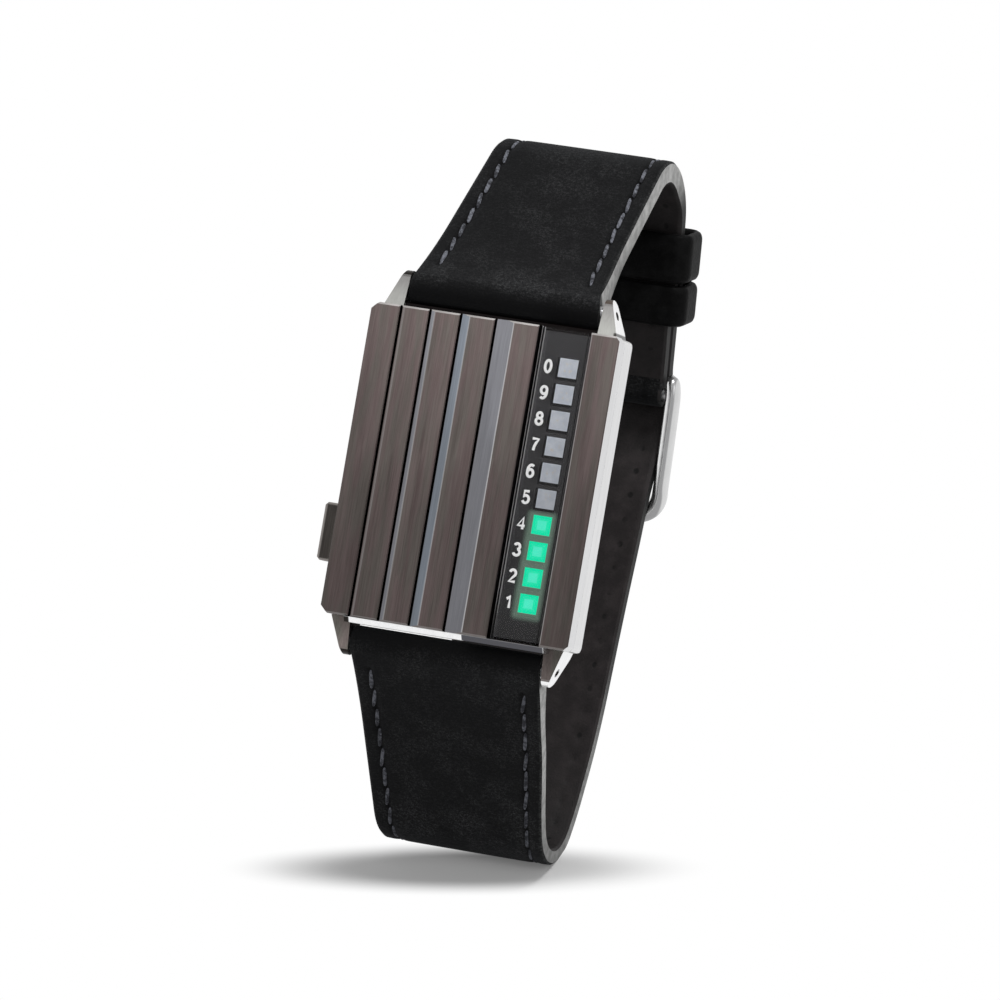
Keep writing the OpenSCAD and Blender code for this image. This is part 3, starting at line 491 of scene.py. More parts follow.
# Seam of each strap on its own map: distance in from the edge, and length along the strap
def seamMarks(tree):
    fromEdge, along = parts(tree, addNode(tree, "UVMap", uv_map="strapMap").outputs["UV"])[:2]
    start, pitch = stitching["start"], stitching["pitch"]
    aside = apart(tree, fromEdge, stitching["inset"])
    inRow = fade(tree, along, start - 0.5, start)
    beat = calc(tree, "FRACT", calc(tree, "DIVIDE", minus(tree, along, start - 50 * pitch), pitch))
    gap = times(tree, minus(tree, 0.5, apart(tree, beat, 0.5)), pitch)
    pit = hypotenuse(tree, times(tree, gap, 0.9), times(tree, aside, 0.9))
    groove = times(tree, fade(tree, aside, 0.6, 0.25), inRow)
    return fromEdge, groove, times(tree, fade(tree, pit, 0.42, 0.22), inRow), along


def makeEdge():
    made, tree, shader = newMaterial("cutEdge", Roughness=0.62, Specular_IOR_Level=0.2)
    vector = objectMm(tree)
    streak = noise(tree, scaled(tree, vector, (3.0, 0.5, 0.5)), 1.5, 4.0, 0.65)
    dark, light = leatherLook["edgeDark"], leatherLook["edgeLight"]
    colour = blendColour(tree, fade(tree, streak, 0.3, 0.7), dark, light)
    x, y, z = parts(tree, vector)
    # Painted light: the cut edge is darker near the bottom and lighter higher up
    colour = scaleColour(tree, colour, fade(tree, z, *leatherLook["edgeShadeHeight"]))
    # Painted shade: the edges at the back, below the top bend, turn black
    backShade = times(tree, fade(tree, y, *leatherLook["edgeFade"]), fade(tree, z, *leatherLook["bendFade"]))
    colour = blendColour(tree, backShade, colour, leatherLook["edgeShade"])
    along = parts(tree, addNode(tree, "UVMap", uv_map="strapMap").outputs["UV"])[1]
    # Painted shade: the edge turns black at the strap's start by the lug
    colour = blendColour(tree, fade(tree, along, *leatherLook["edgeStart"]), colour, leatherLook["edgeShade"])
    wire(tree, colour, shader, "Base Color")
    bump(tree, shader, noise(tree, vector, 7.0, 3.0), 0.35, 0.05)
    return made


def makeLeather(name, colour, roughness, pore, gloss):
    made, tree, shader = newMaterial(name, Roughness=roughness, Specular_IOR_Level=gloss)
    vector = objectMm(tree)
    cells = addNode(tree, "TexVoronoi", {"Vector": vector, "Scale": pore}, feature="DISTANCE_TO_EDGE")
    cloud = noise(tree, vector, 0.5, 3.0)
    lighter = [1.9 * c for c in colour[:3]] + [1]
    tone = blendColour(tree, fade(tree, cloud, 0.35, 0.75), colour, lighter)
    if name == "smoothLining":
        pit, along = seamMarks(tree)[2:]
        # Lighter in a band along the lining, only below a set height
        lighterBand = times(tree, fade(tree, along, 30.0, 60.0), fade(tree, along, 88.0, 84.0),
                      fade(tree, parts(tree, vector)[2], *leatherLook["lighterBelow"]))
        tone = scaleColour(tree, tone, calc(tree, "MULTIPLY_ADD", lighterBand, 0.9, 1.0))
        # Painted shade in the stitch pits, in patches
        kept = fade(tree, noise(tree, vector, 0.3, 1.0), 0.46, 0.56, 0.15, 0.95)
        tone = blendColour(tree, times(tree, pit, kept), tone, leatherLook["pit"])
        tone = blendColour(tree, 1.0, tone, leatherLook["liningTint"], "MULTIPLY")
    wire(tree, tone, shader, "Base Color")
    wire(tree, calc(tree, "MULTIPLY_ADD", cloud, 0.2, roughness - 0.1), shader, "Roughness")
    bump(tree, shader, fade(tree, cells.outputs["Distance"], 0.0, 0.25), 0.25, 0.05)
    return made


threadLook = {"dark": (0.014, 0.0145, 0.018, 1), "light": (0.195, 0.203, 0.235, 1)}


def makeThread():
    dark, light = threadLook["dark"], threadLook["light"]
    made, tree, shader = newMaterial("thread", Roughness=0.8, Specular_IOR_Level=0.2)
    vector = objectMm(tree)
    twist = addNode(tree, "TexWave", {"Vector": vector, "Scale": 0.8, "Distortion": 6.0, "Detail": 3.0},
                    bands_direction="DIAGONAL").outputs["Fac"]
    fluff = times(tree, fade(tree, twist, 0.0, 1.0, 0.65, 1.0),
                 fade(tree, noise(tree, vector, 0.9, 5.0, 0.75), 0.40, 0.60, 0.08, 1.2))
    # Painted light: the thread is lighter higher up and darker lower down
    high = fade(tree, parts(tree, vector)[2], 38.0, 58.0)
    light = blendColour(tree, high, scaleColour(tree, light, 0.62), scaleColour(tree, light, 0.9))
    wire(tree, blendColour(tree, fluff, dark, light), shader, "Base Color")
    bump(tree, shader, twist, 0.5, 0.08)
    return made


polishLook = {"low": (0.66, 0.66, 0.66, 1), "high": (0.84, 0.84, 0.84, 1),
              "streak": (0.19, 0.19, 0.194, 1), "streakFrom": (0.08, 0.28), "streakTo": (0.86, 0.66)}


def makePolished():
    made, tree, shader = newMaterial("polishedSteel", Metallic=1.0)
    vector = objectMm(tree)
    smear = noise(tree, vector, 0.35, 3.0)
    fine = noise(tree, scaled(tree, vector, (6.0, 0.6, 0.6)), 2.0, 3.0)
    colour = blendColour(tree, smear, polishLook["low"], polishLook["high"])
    # A painted dark reflection streak on the rails' outward-turning faces
    sideways = times(tree, facing(tree, Vector((1, 0, 0))), calc(tree, "SIGN", parts(tree, vector)[0]))
    streak = times(tree, fade(tree, sideways, *polishLook["streakFrom"]),
                  fade(tree, sideways, *polishLook["streakTo"], 0.3, 1.0))
    colour = blendColour(tree, times(tree, streak, 0.8), colour, polishLook["streak"])
    wire(tree, colour, shader, "Base Color")
    wire(tree, calc(tree, "MULTIPLY_ADD", smear, 0.14, 0.17), shader, "Roughness")
    bump(tree, shader, fine, 0.06, 0.01)
    return made


def makePlain(name, colour, roughness, metallic=0.0, grainScale=2.0, grainBump=0.15):
    made, tree, shader = newMaterial(name, Metallic=metallic)
    vector = objectMm(tree)
    grain = noise(tree, vector, grainScale, 4.0)
    darker = [0.75 * c for c in colour[:3]] + [1]
    wire(tree, blendColour(tree, grain, darker, colour), shader, "Base Color")
    wire(tree, calc(tree, "MULTIPLY_ADD", grain, 0.2, roughness - 0.1), shader, "Roughness")
    bump(tree, shader, grain, grainBump, 0.02)
    return made


slatSteel = makeSlatSteel()
caseSteel = makeCaseSteel()
polishedSteel = makePolished()
suede = makeSuede()
cutEdge = makeEdge()
lining = makeLeather("smoothLining", leatherLook["lining"], 0.6, 2.4, 0.18)
keeperLeather = makeLeather("keeperLeather", (0.0052, 0.0052, 0.0053, 1), 0.42, 1.9, 0.02)
thread = makeThread()
satinSteel = makePlain("satinSteel", (0.72, 0.72, 0.73, 1), 0.3, 1.0, 3.0)
numeralWhite = makePlain("numeralWhite", (1.0, 1.0, 1.0, 1), 0.5, 0.0, 4.0, 0.05)
finishes = {
    "mid_case": caseSteel, "case_back": caseSteel, "pusher": makePusherSteel(),
    "left_bar": slatSteel, "slat_2": slatSteel, "slat_3": slatSteel, "slat_4": slatSteel,
    "slat_5": slatSteel, "right_bar": slatSteel,
    "display_lens": makeLens(), "light_guide": makePanel(), "light_tiles": makeWindows(),
    "led_chips": makePlain("chipCeramic", (0.8, 0.79, 0.7, 1), 0.5),
    "module_board": makePlain("boardGreen", (0.02, 0.12, 0.05, 1), 0.45, 0.0, 1.2),
    "module_holder": makePlain("holderPlastic", (0.70, 0.69, 0.64, 1), 0.5),
    "cell_clip": makePlain("springBronze", (0.72, 0.52, 0.26, 1), 0.35, 1.0),
    "back_gasket": makePlain("sealRubber", (0.02, 0.02, 0.02, 1), 0.7),
    "pusher_seal": makePlain("stemRubber", (0.022, 0.022, 0.022, 1), 0.7)}
for name, node in nodes.items():
    node.data.materials.clear()
    node.data.materials.append(finishes.get(name, satinSteel))
print("materials made")


# Paths in the side plane as lists of (length so far, y, z, heading)
def turned(angle):
    return Vector((cos(radians(angle)), sin(radians(angle))))


def leftOf(angle):
    return Vector((-sin(radians(angle)), cos(radians(angle))))


def addLine(path, length, count):
    s, y, z, angle = path[-1]
    for i in range(1, count + 1):
        p = Vector((y, z)) + turned(angle) * length * i / count
        path.append((s + length * i / count, p.x, p.y, angle))


def addArc(path, turnBy, radius, count):
    s, y, z, angle = path[-1]
    side = 1 if turnBy > 0 else -1
    centre = Vector((y, z)) + side * radius * leftOf(angle)
    for i in range(1, count + 1):
        heading = angle + turnBy * i / count
        p = centre - side * radius * leftOf(heading)
        path.append((s + radius * radians(abs(turnBy)) * i / count, p.x, p.y, heading))


def addCurve(path, target, heading, count):
    s, y, z, angle = path[-1]
    a, d = Vector((y, z)), Vector(target)
    reach = (d - a).length / 3
    b, c = a + reach * turned(angle), d - reach * turned(heading)
    last = a
    for i in range(1, count + 1):
        t = i / count
        k = 1 - t
        p = k * k * k * a + 3 * k * k * t * b + 3 * k * t * t * c + t * t * t * d
        way = k * k * (b - a) + 2 * k * t * (c - b) + t * t * (d - c)
        s += (p - last).length
        last = p
        path.append((s, p.x, p.y, atan2(way.y, way.x) * 180 / pi))


def pathAt(path, s):
    keys = [p[0] for p in path]
    i = min(max(bisect_right(keys, s), 1), len(path) - 1)
    a, b = path[i - 1], path[i]
    k = (s - a[0]) / (b[0] - a[0])
    heading = a[3] + (b[3] - a[3]) * min(max(k, 0), 1)
    return Vector((a[1] + (b[1] - a[1]) * k, a[2] + (b[2] - a[2]) * k)), heading


strap = {"width": 23.4, "endWidth": 21.2, "taper": 45.0, "thick": 2.0, "loop": 1.85,
         "upperPin": (13.3213, 16.6731), "lowerPin": (-7.77872, -19.8731),
         "rise": 14.0, "upperRun": 25.9, "topBend": 7.5, "fall": -106.0, "backRun": 21.1,
         "lowerFall": -78.5, "lowerRun": 25.2, "footBend": 7.2, "frameFall": -114.0,
         "frameReach": 14.7, "farBar": 1.1, "endLoop": 1.5, "lapGap": 0.3, "lapRise": 3.2,
         "footRise": 26.0, "frameHeading": 56.0, "pinHeading": 62.0, "restGap": 0.2, "tail": 23.0,
         "tip": 7.0, "noseBlend": 12.0, "holePitch": 6.5, "holeShift": -4.0, "hole": 1.1,
         "barBore": 0.98, "pinBore": 0.83, "slotUp": 2.4, "slotDown": 5.6, "slotSpare": 0.7,
         "tongueWidth": 1.8, "tongueSpare": 0.25, "tongueLift": 11.0, "upperLoop": 2.08}
upperPath = [(0.0, *strap["upperPin"], strap["rise"])]
addLine(upperPath, strap["upperRun"], 12)
addArc(upperPath, strap["fall"] - strap["rise"], strap["topBend"], 40)
addLine(upperPath, strap["backRun"], 12)
upperLength = upperPath[-1][0]
bucklePin = Vector(upperPath[-1][1:3])
up, out = -turned(strap["fall"]), leftOf(strap["fall"])
frameDown, frameOut = turned(strap["frameFall"]), leftOf(strap["frameFall"])
farPin = bucklePin + strap["frameReach"] * frameDown
lowerPath = [(0.0, *strap["lowerPin"], strap["lowerFall"])]
addLine(lowerPath, strap["lowerRun"], 12)
addArc(lowerPath, strap["footRise"] - strap["lowerFall"], strap["footBend"], 40)
rest = strap["restGap"] + strap["thick"] / 2
addCurve(lowerPath, farPin - (strap["farBar"] + rest) * frameOut, strap["frameHeading"], 50)
addCurve(lowerPath, bucklePin + (strap["endLoop"] + rest) * out, strap["pinHeading"], 30)
overLength = lowerPath[-1][0]
lap = strap["thick"] + strap["lapGap"]
addCurve(lowerPath, bucklePin + strap["lapRise"] * up + lap * out, 180 + strap["fall"], 12)
addLine(lowerPath, strap["tail"] - strap["lapRise"], 16)
lowerLength = lowerPath[-1][0]


def halfWidth(s):
    narrower = (strap["width"] - strap["endWidth"]) * min(1, max(0, s) / strap["taper"])
    return (strap["width"] - narrower) / 2


def noseThick(s, loop=strap["loop"]):
    if s < 0:
        return sqrt(max(0.02, loop ** 2 - s * s))
    grow = max(0, 1 - s / strap["noseBlend"]) ** 2
    return strap["thick"] / 2 + (loop - strap["thick"] / 2) * grow


def upperThick(s):
    past = s - upperLength
    if past < -strap["endLoop"]:
        return noseThick(s, strap["upperLoop"])
    ring = sqrt(max(0.01, strap["endLoop"] ** 2 - past * past))
    if past > 0:
        return ring
    return (ring ** 4 + (strap["thick"] / 2) ** 4 * min(1, -past)) ** 0.25


def lowerWidth(s):
    left, tip = lowerLength - s, strap["tip"]
    point = 1 if left > tip else sqrt(max(0.01, 1 - (1 - left / tip) ** 2))
    return halfWidth(s) * point


# The right side of each strap is drawn in a little: (length, share of the half width)
drawnIn = {"upper": ((-1.5, 0.0), (2, 0.055), (12, 0.085), (32, 0.07), (45, 0.02), (60, 0.0)),
           "lower": ((0, 0.0), (10, 0.03), (26, 0.085), (58, 0.08), (92, 0.0), (104, 0.0), (112, 0.03))}
# Both sides narrow where the strap passes the buckle
waist = {"upper": ((47, 0.0), (53, 0.065), (63, 0.065)),
         "lower": ((74, 0.0), (92, 0.03), (96, 0.065), (103, 0.065), (108, 0.03))}
padded = ((-1, 0.0), (1.5, 0.6), (16, 0.8), (26, 0.86), (36, 0.75), (41, 0.0))


def tableAt(table, s):
    if s <= table[0][0]:
        return table[0][1]
    for (a, low), (b, high) in zip(table, table[1:]):
        if s < b:
            k = (s - a) / (b - a)
            return low + (high - low) * k * k * (3 - 2 * k)
    return table[-1][1]


def drawIn(bm, name):
    for v in bm.verts:
        v.co.x *= 1 - tableAt(waist[name], v.co.y)
        if v.co.x > 0:
            v.co.x *= 1 - tableAt(drawnIn[name], v.co.y)


def stitchDent(x, s, width, rows):
    first, last = rows
    if s < first - 0.6 or s > last + 0.6:
        return 0.0, 0.0
    aside = (abs(x) - (width - stitching["inset"])) / stitching["grooveWide"]
    groove = stitching["grooveDeep"] * exp(-aside * aside)
    phase = ((s - first) / stitching["pitch"]) % 1.0
    near = min(phase, 1 - phase) / stitching["pitLong"]
    pit = stitching["pitDeep"] * exp(-near ** 2) * exp(-(aside / stitching["pitAcross"]) ** 2)
    return groove + pit, pit


# Flat strip with rounded edges, its length along y; edgeShare says how far the edges round off
def leatherStrip(start, end, columns, rows, widthAt, thickAt, dents=None, crown=0.08, edge=0.3,
                 padding=(), edgeShare=0.85):
    bm = bmesh.new()
    bmesh.ops.create_grid(bm, x_segments=columns, y_segments=rows, size=0.5)
    for v in bm.verts:
        s = start + (v.co.y + 0.5) * (end - start)
        v.co = (2 * v.co.x, s, 0)
    top = bmesh.ops.extrude_face_region(bm, geom=bm.faces[:])
    upperSide = {v for v in top["geom"] if isinstance(v, bmesh.types.BMVert)}
    for v in bm.verts:
        side, s = v.co.x, v.co.y
        width, thick = widthAt(s), thickAt(s)
        x = side * width
        near = max(0.0, 1 - (width - abs(x)) / edge) if width > edge else 1.0
        rounded = thick - min(edge, thick) * (1 - sqrt(max(0, 1 - near * near))) * edgeShare
        if v in upperSide:
            z = rounded - crown * (abs(x) / width) ** 6
            if dents:
                z -= stitchDent(x, s, width, dents)[0]
        else:
            z = -rounded
            if dents:
                z += stitchDent(x, s, width, dents)[1]
            if padding:
                z -= tableAt(padding, s)
        v.co = (x, s, z)
    bmesh.ops.recalc_face_normals(bm, faces=bm.faces[:])
    flatMap = bm.loops.layers.uv.new("strapMap")
    for f in bm.faces:
        for corner in f.loops:
            x, s, z = corner.vert.co
            corner[flatMap].uv = (widthAt(s) - abs(x), s)
    return bm


def paintStrip(bm, loops, limit=0.6):
    for f in bm.faces:
        n, s = f.normal, f.calc_center_median().y
        atLoop = any(abs(s - loop) < 2.2 for loop in loops) and abs(n.x) < 0.6
        f.material_index = 0 if n.z > limit or atLoop else 2 if n.z < -limit else 1


def cut(bm, cutters):
    flat = bpy.data.meshes.new("flat")
    bm.to_mesh(flat)
    body = bpy.data.objects.new("flat", flat)
    tool = bpy.data.objects.new("tool", bpy.data.meshes.new("tool"))
    cutters.to_mesh(tool.data)
    for o in (body, tool):
        scene.collection.objects.link(o)
    step = body.modifiers.new("cut", "BOOLEAN")
    step.object, step.operation, step.solver = tool, "DIFFERENCE", "EXACT"
    bpy.context.view_layer.update()
    shaped = body.evaluated_get(bpy.context.evaluated_depsgraph_get()).to_mesh()
    bm.clear()
    bm.from_mesh(shaped)
    for o in (body, tool):
        bpy.data.objects.remove(o)
    return bm


def onSidePath(bm, path, flip):
    for v in bm.verts:
        p, heading = pathAt(path, v.co.y)
        p = p + v.co.z * (-1 if flip else 1) * leftOf(heading)
        v.co = inSide(v.co.x, p.x, p.y)


def makePiece(name, bm, materials, body, smoothAngle=40):
    bmesh.ops.recalc_face_normals(bm, faces=bm.faces[:])
    mesh = bpy.data.meshes.new(name)
    bm.to_mesh(mesh)
    bm.free()
    for m in materials:
        mesh.materials.append(m)
    piece = bpy.data.objects.new(name, mesh)
    scene.collection.objects.link(piece)
    for polygon in mesh.polygons:
        polygon.use_smooth = True
    mesh.set_sharp_from_angle(angle=radians(smoothAngle))
    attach(piece, body)
    return piece


def cylinderCutter(cutters, s, radius, axis):
    rotation = Matrix.Rotation(pi / 2, 4, "Y") if axis == "x" else Matrix.Identity(4)
    bmesh.ops.create_cone(cutters, cap_ends=True, segments=28, radius1=radius, radius2=radius,
                          depth=60, matrix=Matrix.Translation((0, s, 0)) @ rotation)


def boxCutter(cutters, s0, s1, width):
    place = Matrix.Translation((0, (s0 + s1) / 2, 0)) @ Matrix.Diagonal((width, s1 - s0, 20, 1))
    bmesh.ops.create_cube(cutters, size=1, matrix=place)


# Where the tongue passes the tail, grown by its swing
def tongueSlot():
    side = ((0.3, 0.0), (12.7, 0.96), (16.2, 0.96), (16.2, 1.8), (15.0, 2.26), (0.0, 1.55))
    half = strap["tongueWidth"] / 2 + strap["tongueSpare"]
    cutters = bmesh.new()
    for lift in (0, radians(strap["tongueLift"])):
        for y, z in side:
            y, z = y * cos(lift) - z * sin(lift), y * sin(lift) + z * cos(lift)
            p = bucklePin + y * frameDown + z * frameOut
            for x in (-half, half):
                cutters.verts.new(inSide(x, p.x, p.y))
    made = bmesh.ops.convex_hull(cutters, input=cutters.verts[:])
    buried = [v for v in made["geom_interior"] if isinstance(v, bmesh.types.BMVert)]
    bmesh.ops.delete(cutters, geom=buried, context="VERTS")
    bmesh.ops.recalc_face_normals(cutters, faces=cutters.faces[:])
    return cutters


upperFlat = leatherStrip(-strap["upperLoop"], upperLength + strap["endLoop"], 66, 150, halfWidth,
                         upperThick, (stitching["start"], stitching["upperEnd"]), padding=padded)
cutters = bmesh.new()
cylinderCutter(cutters, 0, strap["barBore"], "x")
cylinderCutter(cutters, upperLength, strap["pinBore"], "x")
boxCutter(cutters, upperLength - strap["slotUp"], upperLength + strap["slotDown"],
          strap["tongueWidth"] + strap["slotSpare"])
cut(upperFlat, cutters)
paintStrip(upperFlat, (0, upperLength))
drawIn(upperFlat, "upper")
onSidePath(upperFlat, upperPath, False)
upperStrap = makePiece("upperStrapLeather", upperFlat, (suede, cutEdge, lining), "watch")
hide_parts("upper_strap")

holeMid = overLength + strap["holeShift"]
lowerFlat = leatherStrip(-strap["loop"], lowerLength, 66, 250, lowerWidth, noseThick,
                         (stitching["start"], stitching["lowerEnd"]))
cutters = bmesh.new()
cylinderCutter(cutters, 0, strap["barBore"], "x")
for k in (-3, -2, -1, 1, 2):
    cylinderCutter(cutters, holeMid + k * strap["holePitch"], strap["hole"], "z")
cut(lowerFlat, cutters)
paintStrip(lowerFlat, (0,))
drawIn(lowerFlat, "lower")
onSidePath(lowerFlat, lowerPath, True)
cut(lowerFlat, tongueSlot())
for v in lowerFlat.verts:  # the strap stands flat on the table
    v.co.z = max(v.co.z, 0.0)
lowerStrap = makePiece("lowerStrapLeather", lowerFlat, (suede, cutEdge, lining), "watch")
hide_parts("lower_strap")
print("straps made", round(upperLength, 1), round(lowerLength, 1))


# Slanted stitches, each a squashed ball with its ends pressed into the leather
def stitchRows(name, path, flip, end, widthAt, thickAt):
    bm = bmesh.new()
    count = int((end - stitching["start"]) / stitching["pitch"])
    for side in (-1, 1):
        for i in range(count):
            s = stitching["start"] + (i + 0.5) * stitching["pitch"]
            x = side * (widthAt(s) - stitching["inset"])
            wobble = 1 + 0.5 * sin(2.4 * i + 1.3 * side)
            slant = Matrix.Rotation(radians(stitching["slant"] * wobble), 4, "Z")
            size = Matrix.Diagonal((stitching["width"] / 2 * (1.1 - 0.12 * wobble),
                                    stitching["length"] / 2 * (0.94 + 0.06 * sin(5.1 * i)),
                                    stitching["height"] / 2, 1))
            atBend = max(0, 1 - abs(s - stitching["bendAt"]) / stitching["bendReach"])
            sunk = stitching["sunk"] + stitching["bendSunk"] * atBend
            made = bmesh.ops.create_uvsphere(bm, u_segments=8, v_segments=8, radius=1,
                                             matrix=Matrix.Rotation(pi / 2, 4, "X"))
            place = Matrix.Translation((x, s, thickAt(s) - sunk)) @ slant @ size
            for v in made["verts"]:
                blunt = ((1 - abs(v.co.y) ** 4) / max(0.02, 1 - v.co.y ** 2)) ** 0.5
                v.co = place @ Vector((v.co.x * blunt, v.co.y, v.co.z * blunt))
    drawIn(bm, name)
    onSidePath(bm, path, flip)
    return makePiece(name + "Stitches", bm, (thread,), "watch", 80)


stitchRows("upper", upperPath, False, stitching["upperEnd"], halfWidth, upperThick)
stitchRows("lower", lowerPath, True, stitching["lowerEnd"], lowerWidth, noseThick)
print("stitches made")

# Leather keepers round both straps, each a strip bent into a loop
keeper = {"gap": 0.2, "thick": 1.2, "innerCorner": 0.8, "fixed": (8.7, 13.7), "free": (14.0, 20.0)}


def keeperPath():
    halfX = strap["endWidth"] / 2 + keeper["gap"] + keeper["thick"] / 2
    halfZ = (lap + strap["thick"]) / 2 + keeper["gap"] + keeper["thick"] / 2
    radius = keeper["innerCorner"] + keeper["thick"] / 2
    path = [(0.0, 0.0, -halfZ, 0.0)]
    addLine(path, halfX - radius, 6)
    addArc(path, 90, radius, 20)
    addLine(path, 2 * (halfZ - radius), 4)
    addArc(path, 90, radius, 20)
    addLine(path, 2 * (halfX - radius), 12)
    addArc(path, 90, radius, 20)
    addLine(path, 2 * (halfZ - radius), 4)
    addArc(path, 90, radius, 20)
    addLine(path, halfX - radius - 0.06, 6)
    return path


def makeKeeper(name, limits, body, node):
    path = keeperPath()
    half = (limits[1] - limits[0]) / 2
    bm = leatherStrip(0.0, path[-1][0], 34, 220, lambda s: half, lambda s: keeper["thick"] / 2,
                      crown=0.12, edge=1.0)
    middle = -sum(limits) / 2
    for v in bm.verts:
        p, heading = pathAt(path, v.co.y)
        p = p - v.co.z * leftOf(heading)
        side = bucklePin + (middle + v.co.x) * turned(strap["fall"]) + (p.y + lap / 2) * out
        v.co = inSide(p.x, side.x, side.y)
    piece = makePiece(name, bm, (keeperLeather,), body, 60)
    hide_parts(node)
    return piece


makeKeeper("fixedKeeperLoop", keeper["fixed"], "watch", "fixed_keeper")
makeKeeper("freeKeeperLoop", keeper["free"], "free_keeper", "free_keeper")
print("keepers made")

# Buckle: a tube of changing section along a U in the frame's plane
buckle = {"railMiddle": 11.15, "railWide": 1.65, "railHigh": 2.9, "top": -2.55, "bow": 0.15,
          "corner": 2.6, "square": 2.6, "pinch": 0.45, "pinchReach": 3.6, "capReach": 1.0,
          "back": -2.6, "over": 0.3, "railFrom": 0.5, "railBlend": 3.5, "blunt": 9,
          "around": 28, "along": 150}


def bucklePath():
    y1 = strap["frameReach"]
    path = [(0.0, -buckle["railMiddle"], buckle["top"], 90.0)]
    addLine(path, y1 - buckle["corner"] - buckle["top"], 20)
    addArc(path, -90, buckle["corner"], 12)
    addLine(path, 2 * (buckle["railMiddle"] - buckle["corner"]), 20)
    addArc(path, -90, buckle["corner"], 12)
    addLine(path, y1 - buckle["corner"] - buckle["top"], 20)
    return path


def tube(bm, along, around, place):
    bmesh.ops.create_grid(bm, x_segments=around, y_segments=along, size=0.5)
    for v in bm.verts:
        v.co = place(v.co.x + 0.5, v.co.y + 0.5)
    bmesh.ops.remove_doubles(bm, verts=bm.verts[:], dist=1e-7)
    bmesh.ops.holes_fill(bm, edges=[e for e in bm.edges if e.is_boundary], sides=0)


def roundedSection(turnPart, wide, high, power):
    c, s = cos(2 * pi * turnPart), sin(2 * pi * turnPart)
    size = (abs(c) ** power + abs(s) ** power) ** (-1 / power)
    return wide / 2 * c * size, high / 2 * s * size


def makeBuckle():
    path = bucklePath()
    length = path[-1][0]
    yLow, yHigh = buckle["back"], strap["frameReach"] + strap["farBar"] + buckle["over"]

    def place(a, b):
        s = length * b
        p, heading = pathAt(path, s)
        t = min(max((p.y - yLow) / (yHigh - yLow), 0), 1)
        endward = min(s, length - s)
        cap = sqrt(max(0.02, 1 - max(0, 1 - endward / buckle["capReach"]) ** 2))
        rail = min(1, max(0, (strap["frameReach"] - buckle["railFrom"] - p.y) / buckle["railBlend"]))
        rail = rail * rail * (3 - 2 * rail)
        swell = (1 - abs(2 * t - 1) ** buckle["blunt"]) ** 0.5 if t < 0.5 else 1
        barSize = 2 * strap["farBar"]
        wide = (barSize + (buckle["railWide"] - barSize) * rail) * cap
        high = (barSize + (buckle["railHigh"] - barSize) * rail) * max(0.3, swell) * cap
        x, z = roundedSection(a, wide, high, 2 + (buckle["square"] - 2) * rail)
        q = p + x * leftOf(heading)
        atEnd = max(0, 1 - endward / buckle["pinchReach"])
        q.x *= 1 - buckle["pinch"] / buckle["railMiddle"] * atEnd ** 2
        lift = buckle["bow"] * sin(pi * t) * rail + z
        side = bucklePin + q.y * frameDown + lift * frameOut
        return inSide(q.x, side.x, side.y)

    bm = bmesh.new()
    tube(bm, buckle["along"], buckle["around"], place)
    piece = makePiece("buckleFrameBow", bm, (polishedSteel,), "buckle", 50)
    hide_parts("buckle_frame")
    return piece


makeBuckle()
nodes["buckle_tongue"].data.materials[0] = polishedSteel
print("buckle made")

# Numerals beside the windows, drawn as rounded strokes and counted down from the top
numerals = {"order": "0987654321", "across": 7.4, "height": 1.38, "wide": 1.62, "weight": 0.335,
            "lift": 0.8664, "relief": 0.16}


def sweep(x, y, wide, high, start, turnBy, count=14):
    angles = [radians(start + turnBy * i / count) for i in range(count + 1)]
    return [(x + wide * cos(a), y + high * sin(a)) for a in angles]


strokes = {
    "0": (sweep(0.31, 0.5, 0.22, 0.5, 90, 360, 28),),
    "1": (((0.16, 0.76), (0.31, 0.86), (0.4, 1.0), (0.4, 0.0)),),
    "2": (sweep(0.3, 0.72, 0.22, 0.28, 165, -200) + [(0.08, 0.0), (0.55, 0.0)],),
    "3": (sweep(0.29, 0.755, 0.2, 0.245, 160, -245), sweep(0.29, 0.27, 0.24, 0.27, 75, -240)),
    "4": (((0.42, 0.0), (0.42, 1.0), (0.04, 0.3), (0.58, 0.3)),),
    "5": ([(0.52, 1.0), (0.17, 1.0), (0.12, 0.52)] + sweep(0.3, 0.32, 0.24, 0.32, 130, -285),),
    "6": (sweep(0.31, 0.31, 0.22, 0.31, 90, 360, 24), sweep(0.36, 0.5, 0.27, 0.5, 190, -135)),
    "7": (((0.08, 1.0), (0.55, 1.0), (0.38, 0.66), (0.28, 0.34), (0.25, 0.0)),),
    "8": (sweep(0.31, 0.76, 0.19, 0.24, 90, 360, 22), sweep(0.31, 0.27, 0.23, 0.27, 90, 360, 24))}
strokes["9"] = tuple([(0.62 - x, 1 - y) for x, y in line] for line in strokes["6"])


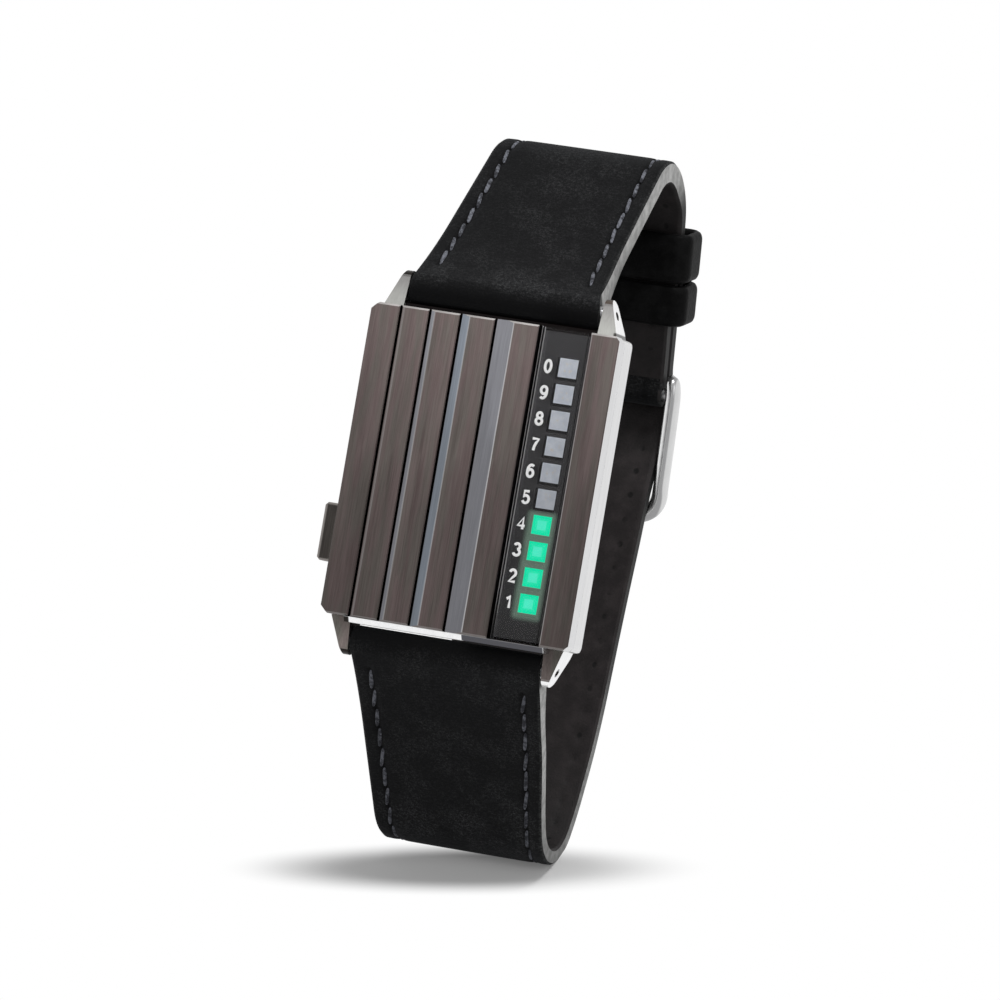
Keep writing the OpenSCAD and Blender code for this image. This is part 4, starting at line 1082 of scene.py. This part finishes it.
def makeNumerals():
    joined = bmesh.new()
    for i, digit in enumerate(numerals["order"]):
        curve = bpy.data.curves.new("digit", "CURVE")
        curve.dimensions = "3D"
        curve.bevel_depth = numerals["weight"] / 2
        curve.bevel_resolution = 2
        curve.use_fill_caps = True
        for line in strokes[digit]:
            closed = abs(line[0][0] - line[-1][0]) + abs(line[0][1] - line[-1][1]) < 0.001
            line = line[:-1] if closed else line
            spline = curve.splines.new("POLY")
            spline.points.add(len(line) - 1)
            spline.use_cyclic_u = closed
            for point, (x, y) in zip(spline.points, line):
                point.co = ((x - 0.31) * numerals["wide"], (y - 0.5) * numerals["height"], 0, 1)
        drawn = bpy.data.objects.new("digit", curve)
        mesh = bpy.data.meshes.new_from_object(drawn)
        row = (4.5 - i) * lampLook["pitch"]
        for v in mesh.vertices:
            v.co = inCase(numerals["across"] + v.co.x, row + v.co.y,
                          numerals["lift"] + max(0.0, v.co.z * numerals["relief"]))
        joined.from_mesh(mesh)
        bpy.data.objects.remove(drawn)
    return makePiece("dialNumerals", joined, (numeralWhite,), "watch", 30)


makeNumerals()
print("numerals made")

# Floor, white surroundings and soft studio lamps; the floor has a painted shadow under the watch besides its
# real one
studio = {"floor": 0.6, "fill": 0.11, "world": 0.42, "shade": ((0.3, -7.1), 27.3, 6.3),
          "shadowPatch": ((0.0, -6.6), 27.0, 5.2), "shadowPatchShare": 0.8,
          "lamps": {"top": ((0.2, 0.16, 1.0), 0.26, 5.0), "key": ((-0.55, -0.8, 0.9), 0.55, 2.2),
                    "right": ((0.9, -0.25, 0.6), 0.5, 1.2)}}


# One for rays that see a thing directly, in a mirror or through glass; zero for its light
def seenRays(tree):
    rays = addNode(tree, "LightPath").outputs
    seen = larger(tree, rays["Is Camera Ray"], rays["Is Glossy Ray"])
    return larger(tree, seen, rays["Is Transmission Ray"])


# Distance from a spot on the floor, counted in a long and a short radius
def spotDistance(tree, middle, long, deep):
    x, y = parts(tree, objectMm(tree))[:2]
    x, y = minus(tree, x, middle[0]), minus(tree, y, middle[1])
    wide = plus(tree, times(tree, x, sideDir.x / long), times(tree, y, sideDir.y / long))
    short = minus(tree, times(tree, y, sideDir.x / deep), times(tree, x, sideDir.y / deep))
    return hypotenuse(tree, wide, short)


def makeFloor():
    bm = bmesh.new()
    bmesh.ops.create_grid(bm, x_segments=8, y_segments=8, size=6)
    mesh = bpy.data.meshes.new("floor")
    bm.to_mesh(mesh)
    bm.free()
    floor = bpy.data.objects.new("floor", mesh)
    scene.collection.objects.link(floor)
    made, tree, shader = newMaterial("floorPaper", Roughness=0.9, Specular_IOR_Level=0.0,
                                     Emission_Color=(1, 1, 1, 1))
    seen = seenRays(tree)
    wire(tree, times(tree, seen, studio["fill"]), shader, "Emission Strength")
    # The floor turns pure white beyond an ellipse under the watch. Inside it the floor keeps its real shadow
    # but is darker than white anyway, a painted shadow, and a patch in the middle darkens its colour further
    # as painted shadow
    away = spotDistance(tree, *studio["shade"])
    shadowPatch = fade(tree, spotDistance(tree, *studio["shadowPatch"]), 0.55, 1.1, studio["shadowPatchShare"], 1.0)
    wire(tree, scaleColour(tree, (studio["floor"],) * 3, shadowPatch), shader, "Base Color")
    clear = times(tree, fade(tree, away, 0.45, 1.1), seen)
    white = addNode(tree, "Emission", {"Color": (1, 1, 1, 1), "Strength": 1.0}).outputs[0]
    mixed = addNode(tree, "MixShader", {0: clear, 1: shader.outputs[0], 2: white}).outputs[0]
    tree.links.new(mixed, tree.nodes["Material Output"].inputs["Surface"])
    mesh.materials.append(made)


def makeLamps():
    world = bpy.data.worlds.new("studio")
    scene.world = world
    world.use_nodes = True
    tree = world.node_tree
    tree.nodes.clear()
    level = fade(tree, seenRays(tree), 0.0, 1.0, studio["world"], 1.0)
    back = addNode(tree, "Background", {"Color": (1, 1, 1, 1), "Strength": level})
    output = addNode(tree, "OutputWorld")
    tree.links.new(back.outputs[0], output.inputs[0])
    for name, (place, size, power) in studio["lamps"].items():
        data = bpy.data.lights.new(name, "AREA")
        data.shape, data.size, data.energy = "DISK", size, power
        lamp = bpy.data.objects.new(name, data)
        scene.collection.objects.link(lamp)
        lamp.location = place
        aim = Vector((0, 0.015, 0.04)) - Vector(place)
        lamp.rotation_mode = "QUATERNION"
        lamp.rotation_quaternion = aim.to_track_quat("-Z", "Y")


makeFloor()
makeLamps()
scene.view_settings.view_transform = "Standard"
print("studio made")
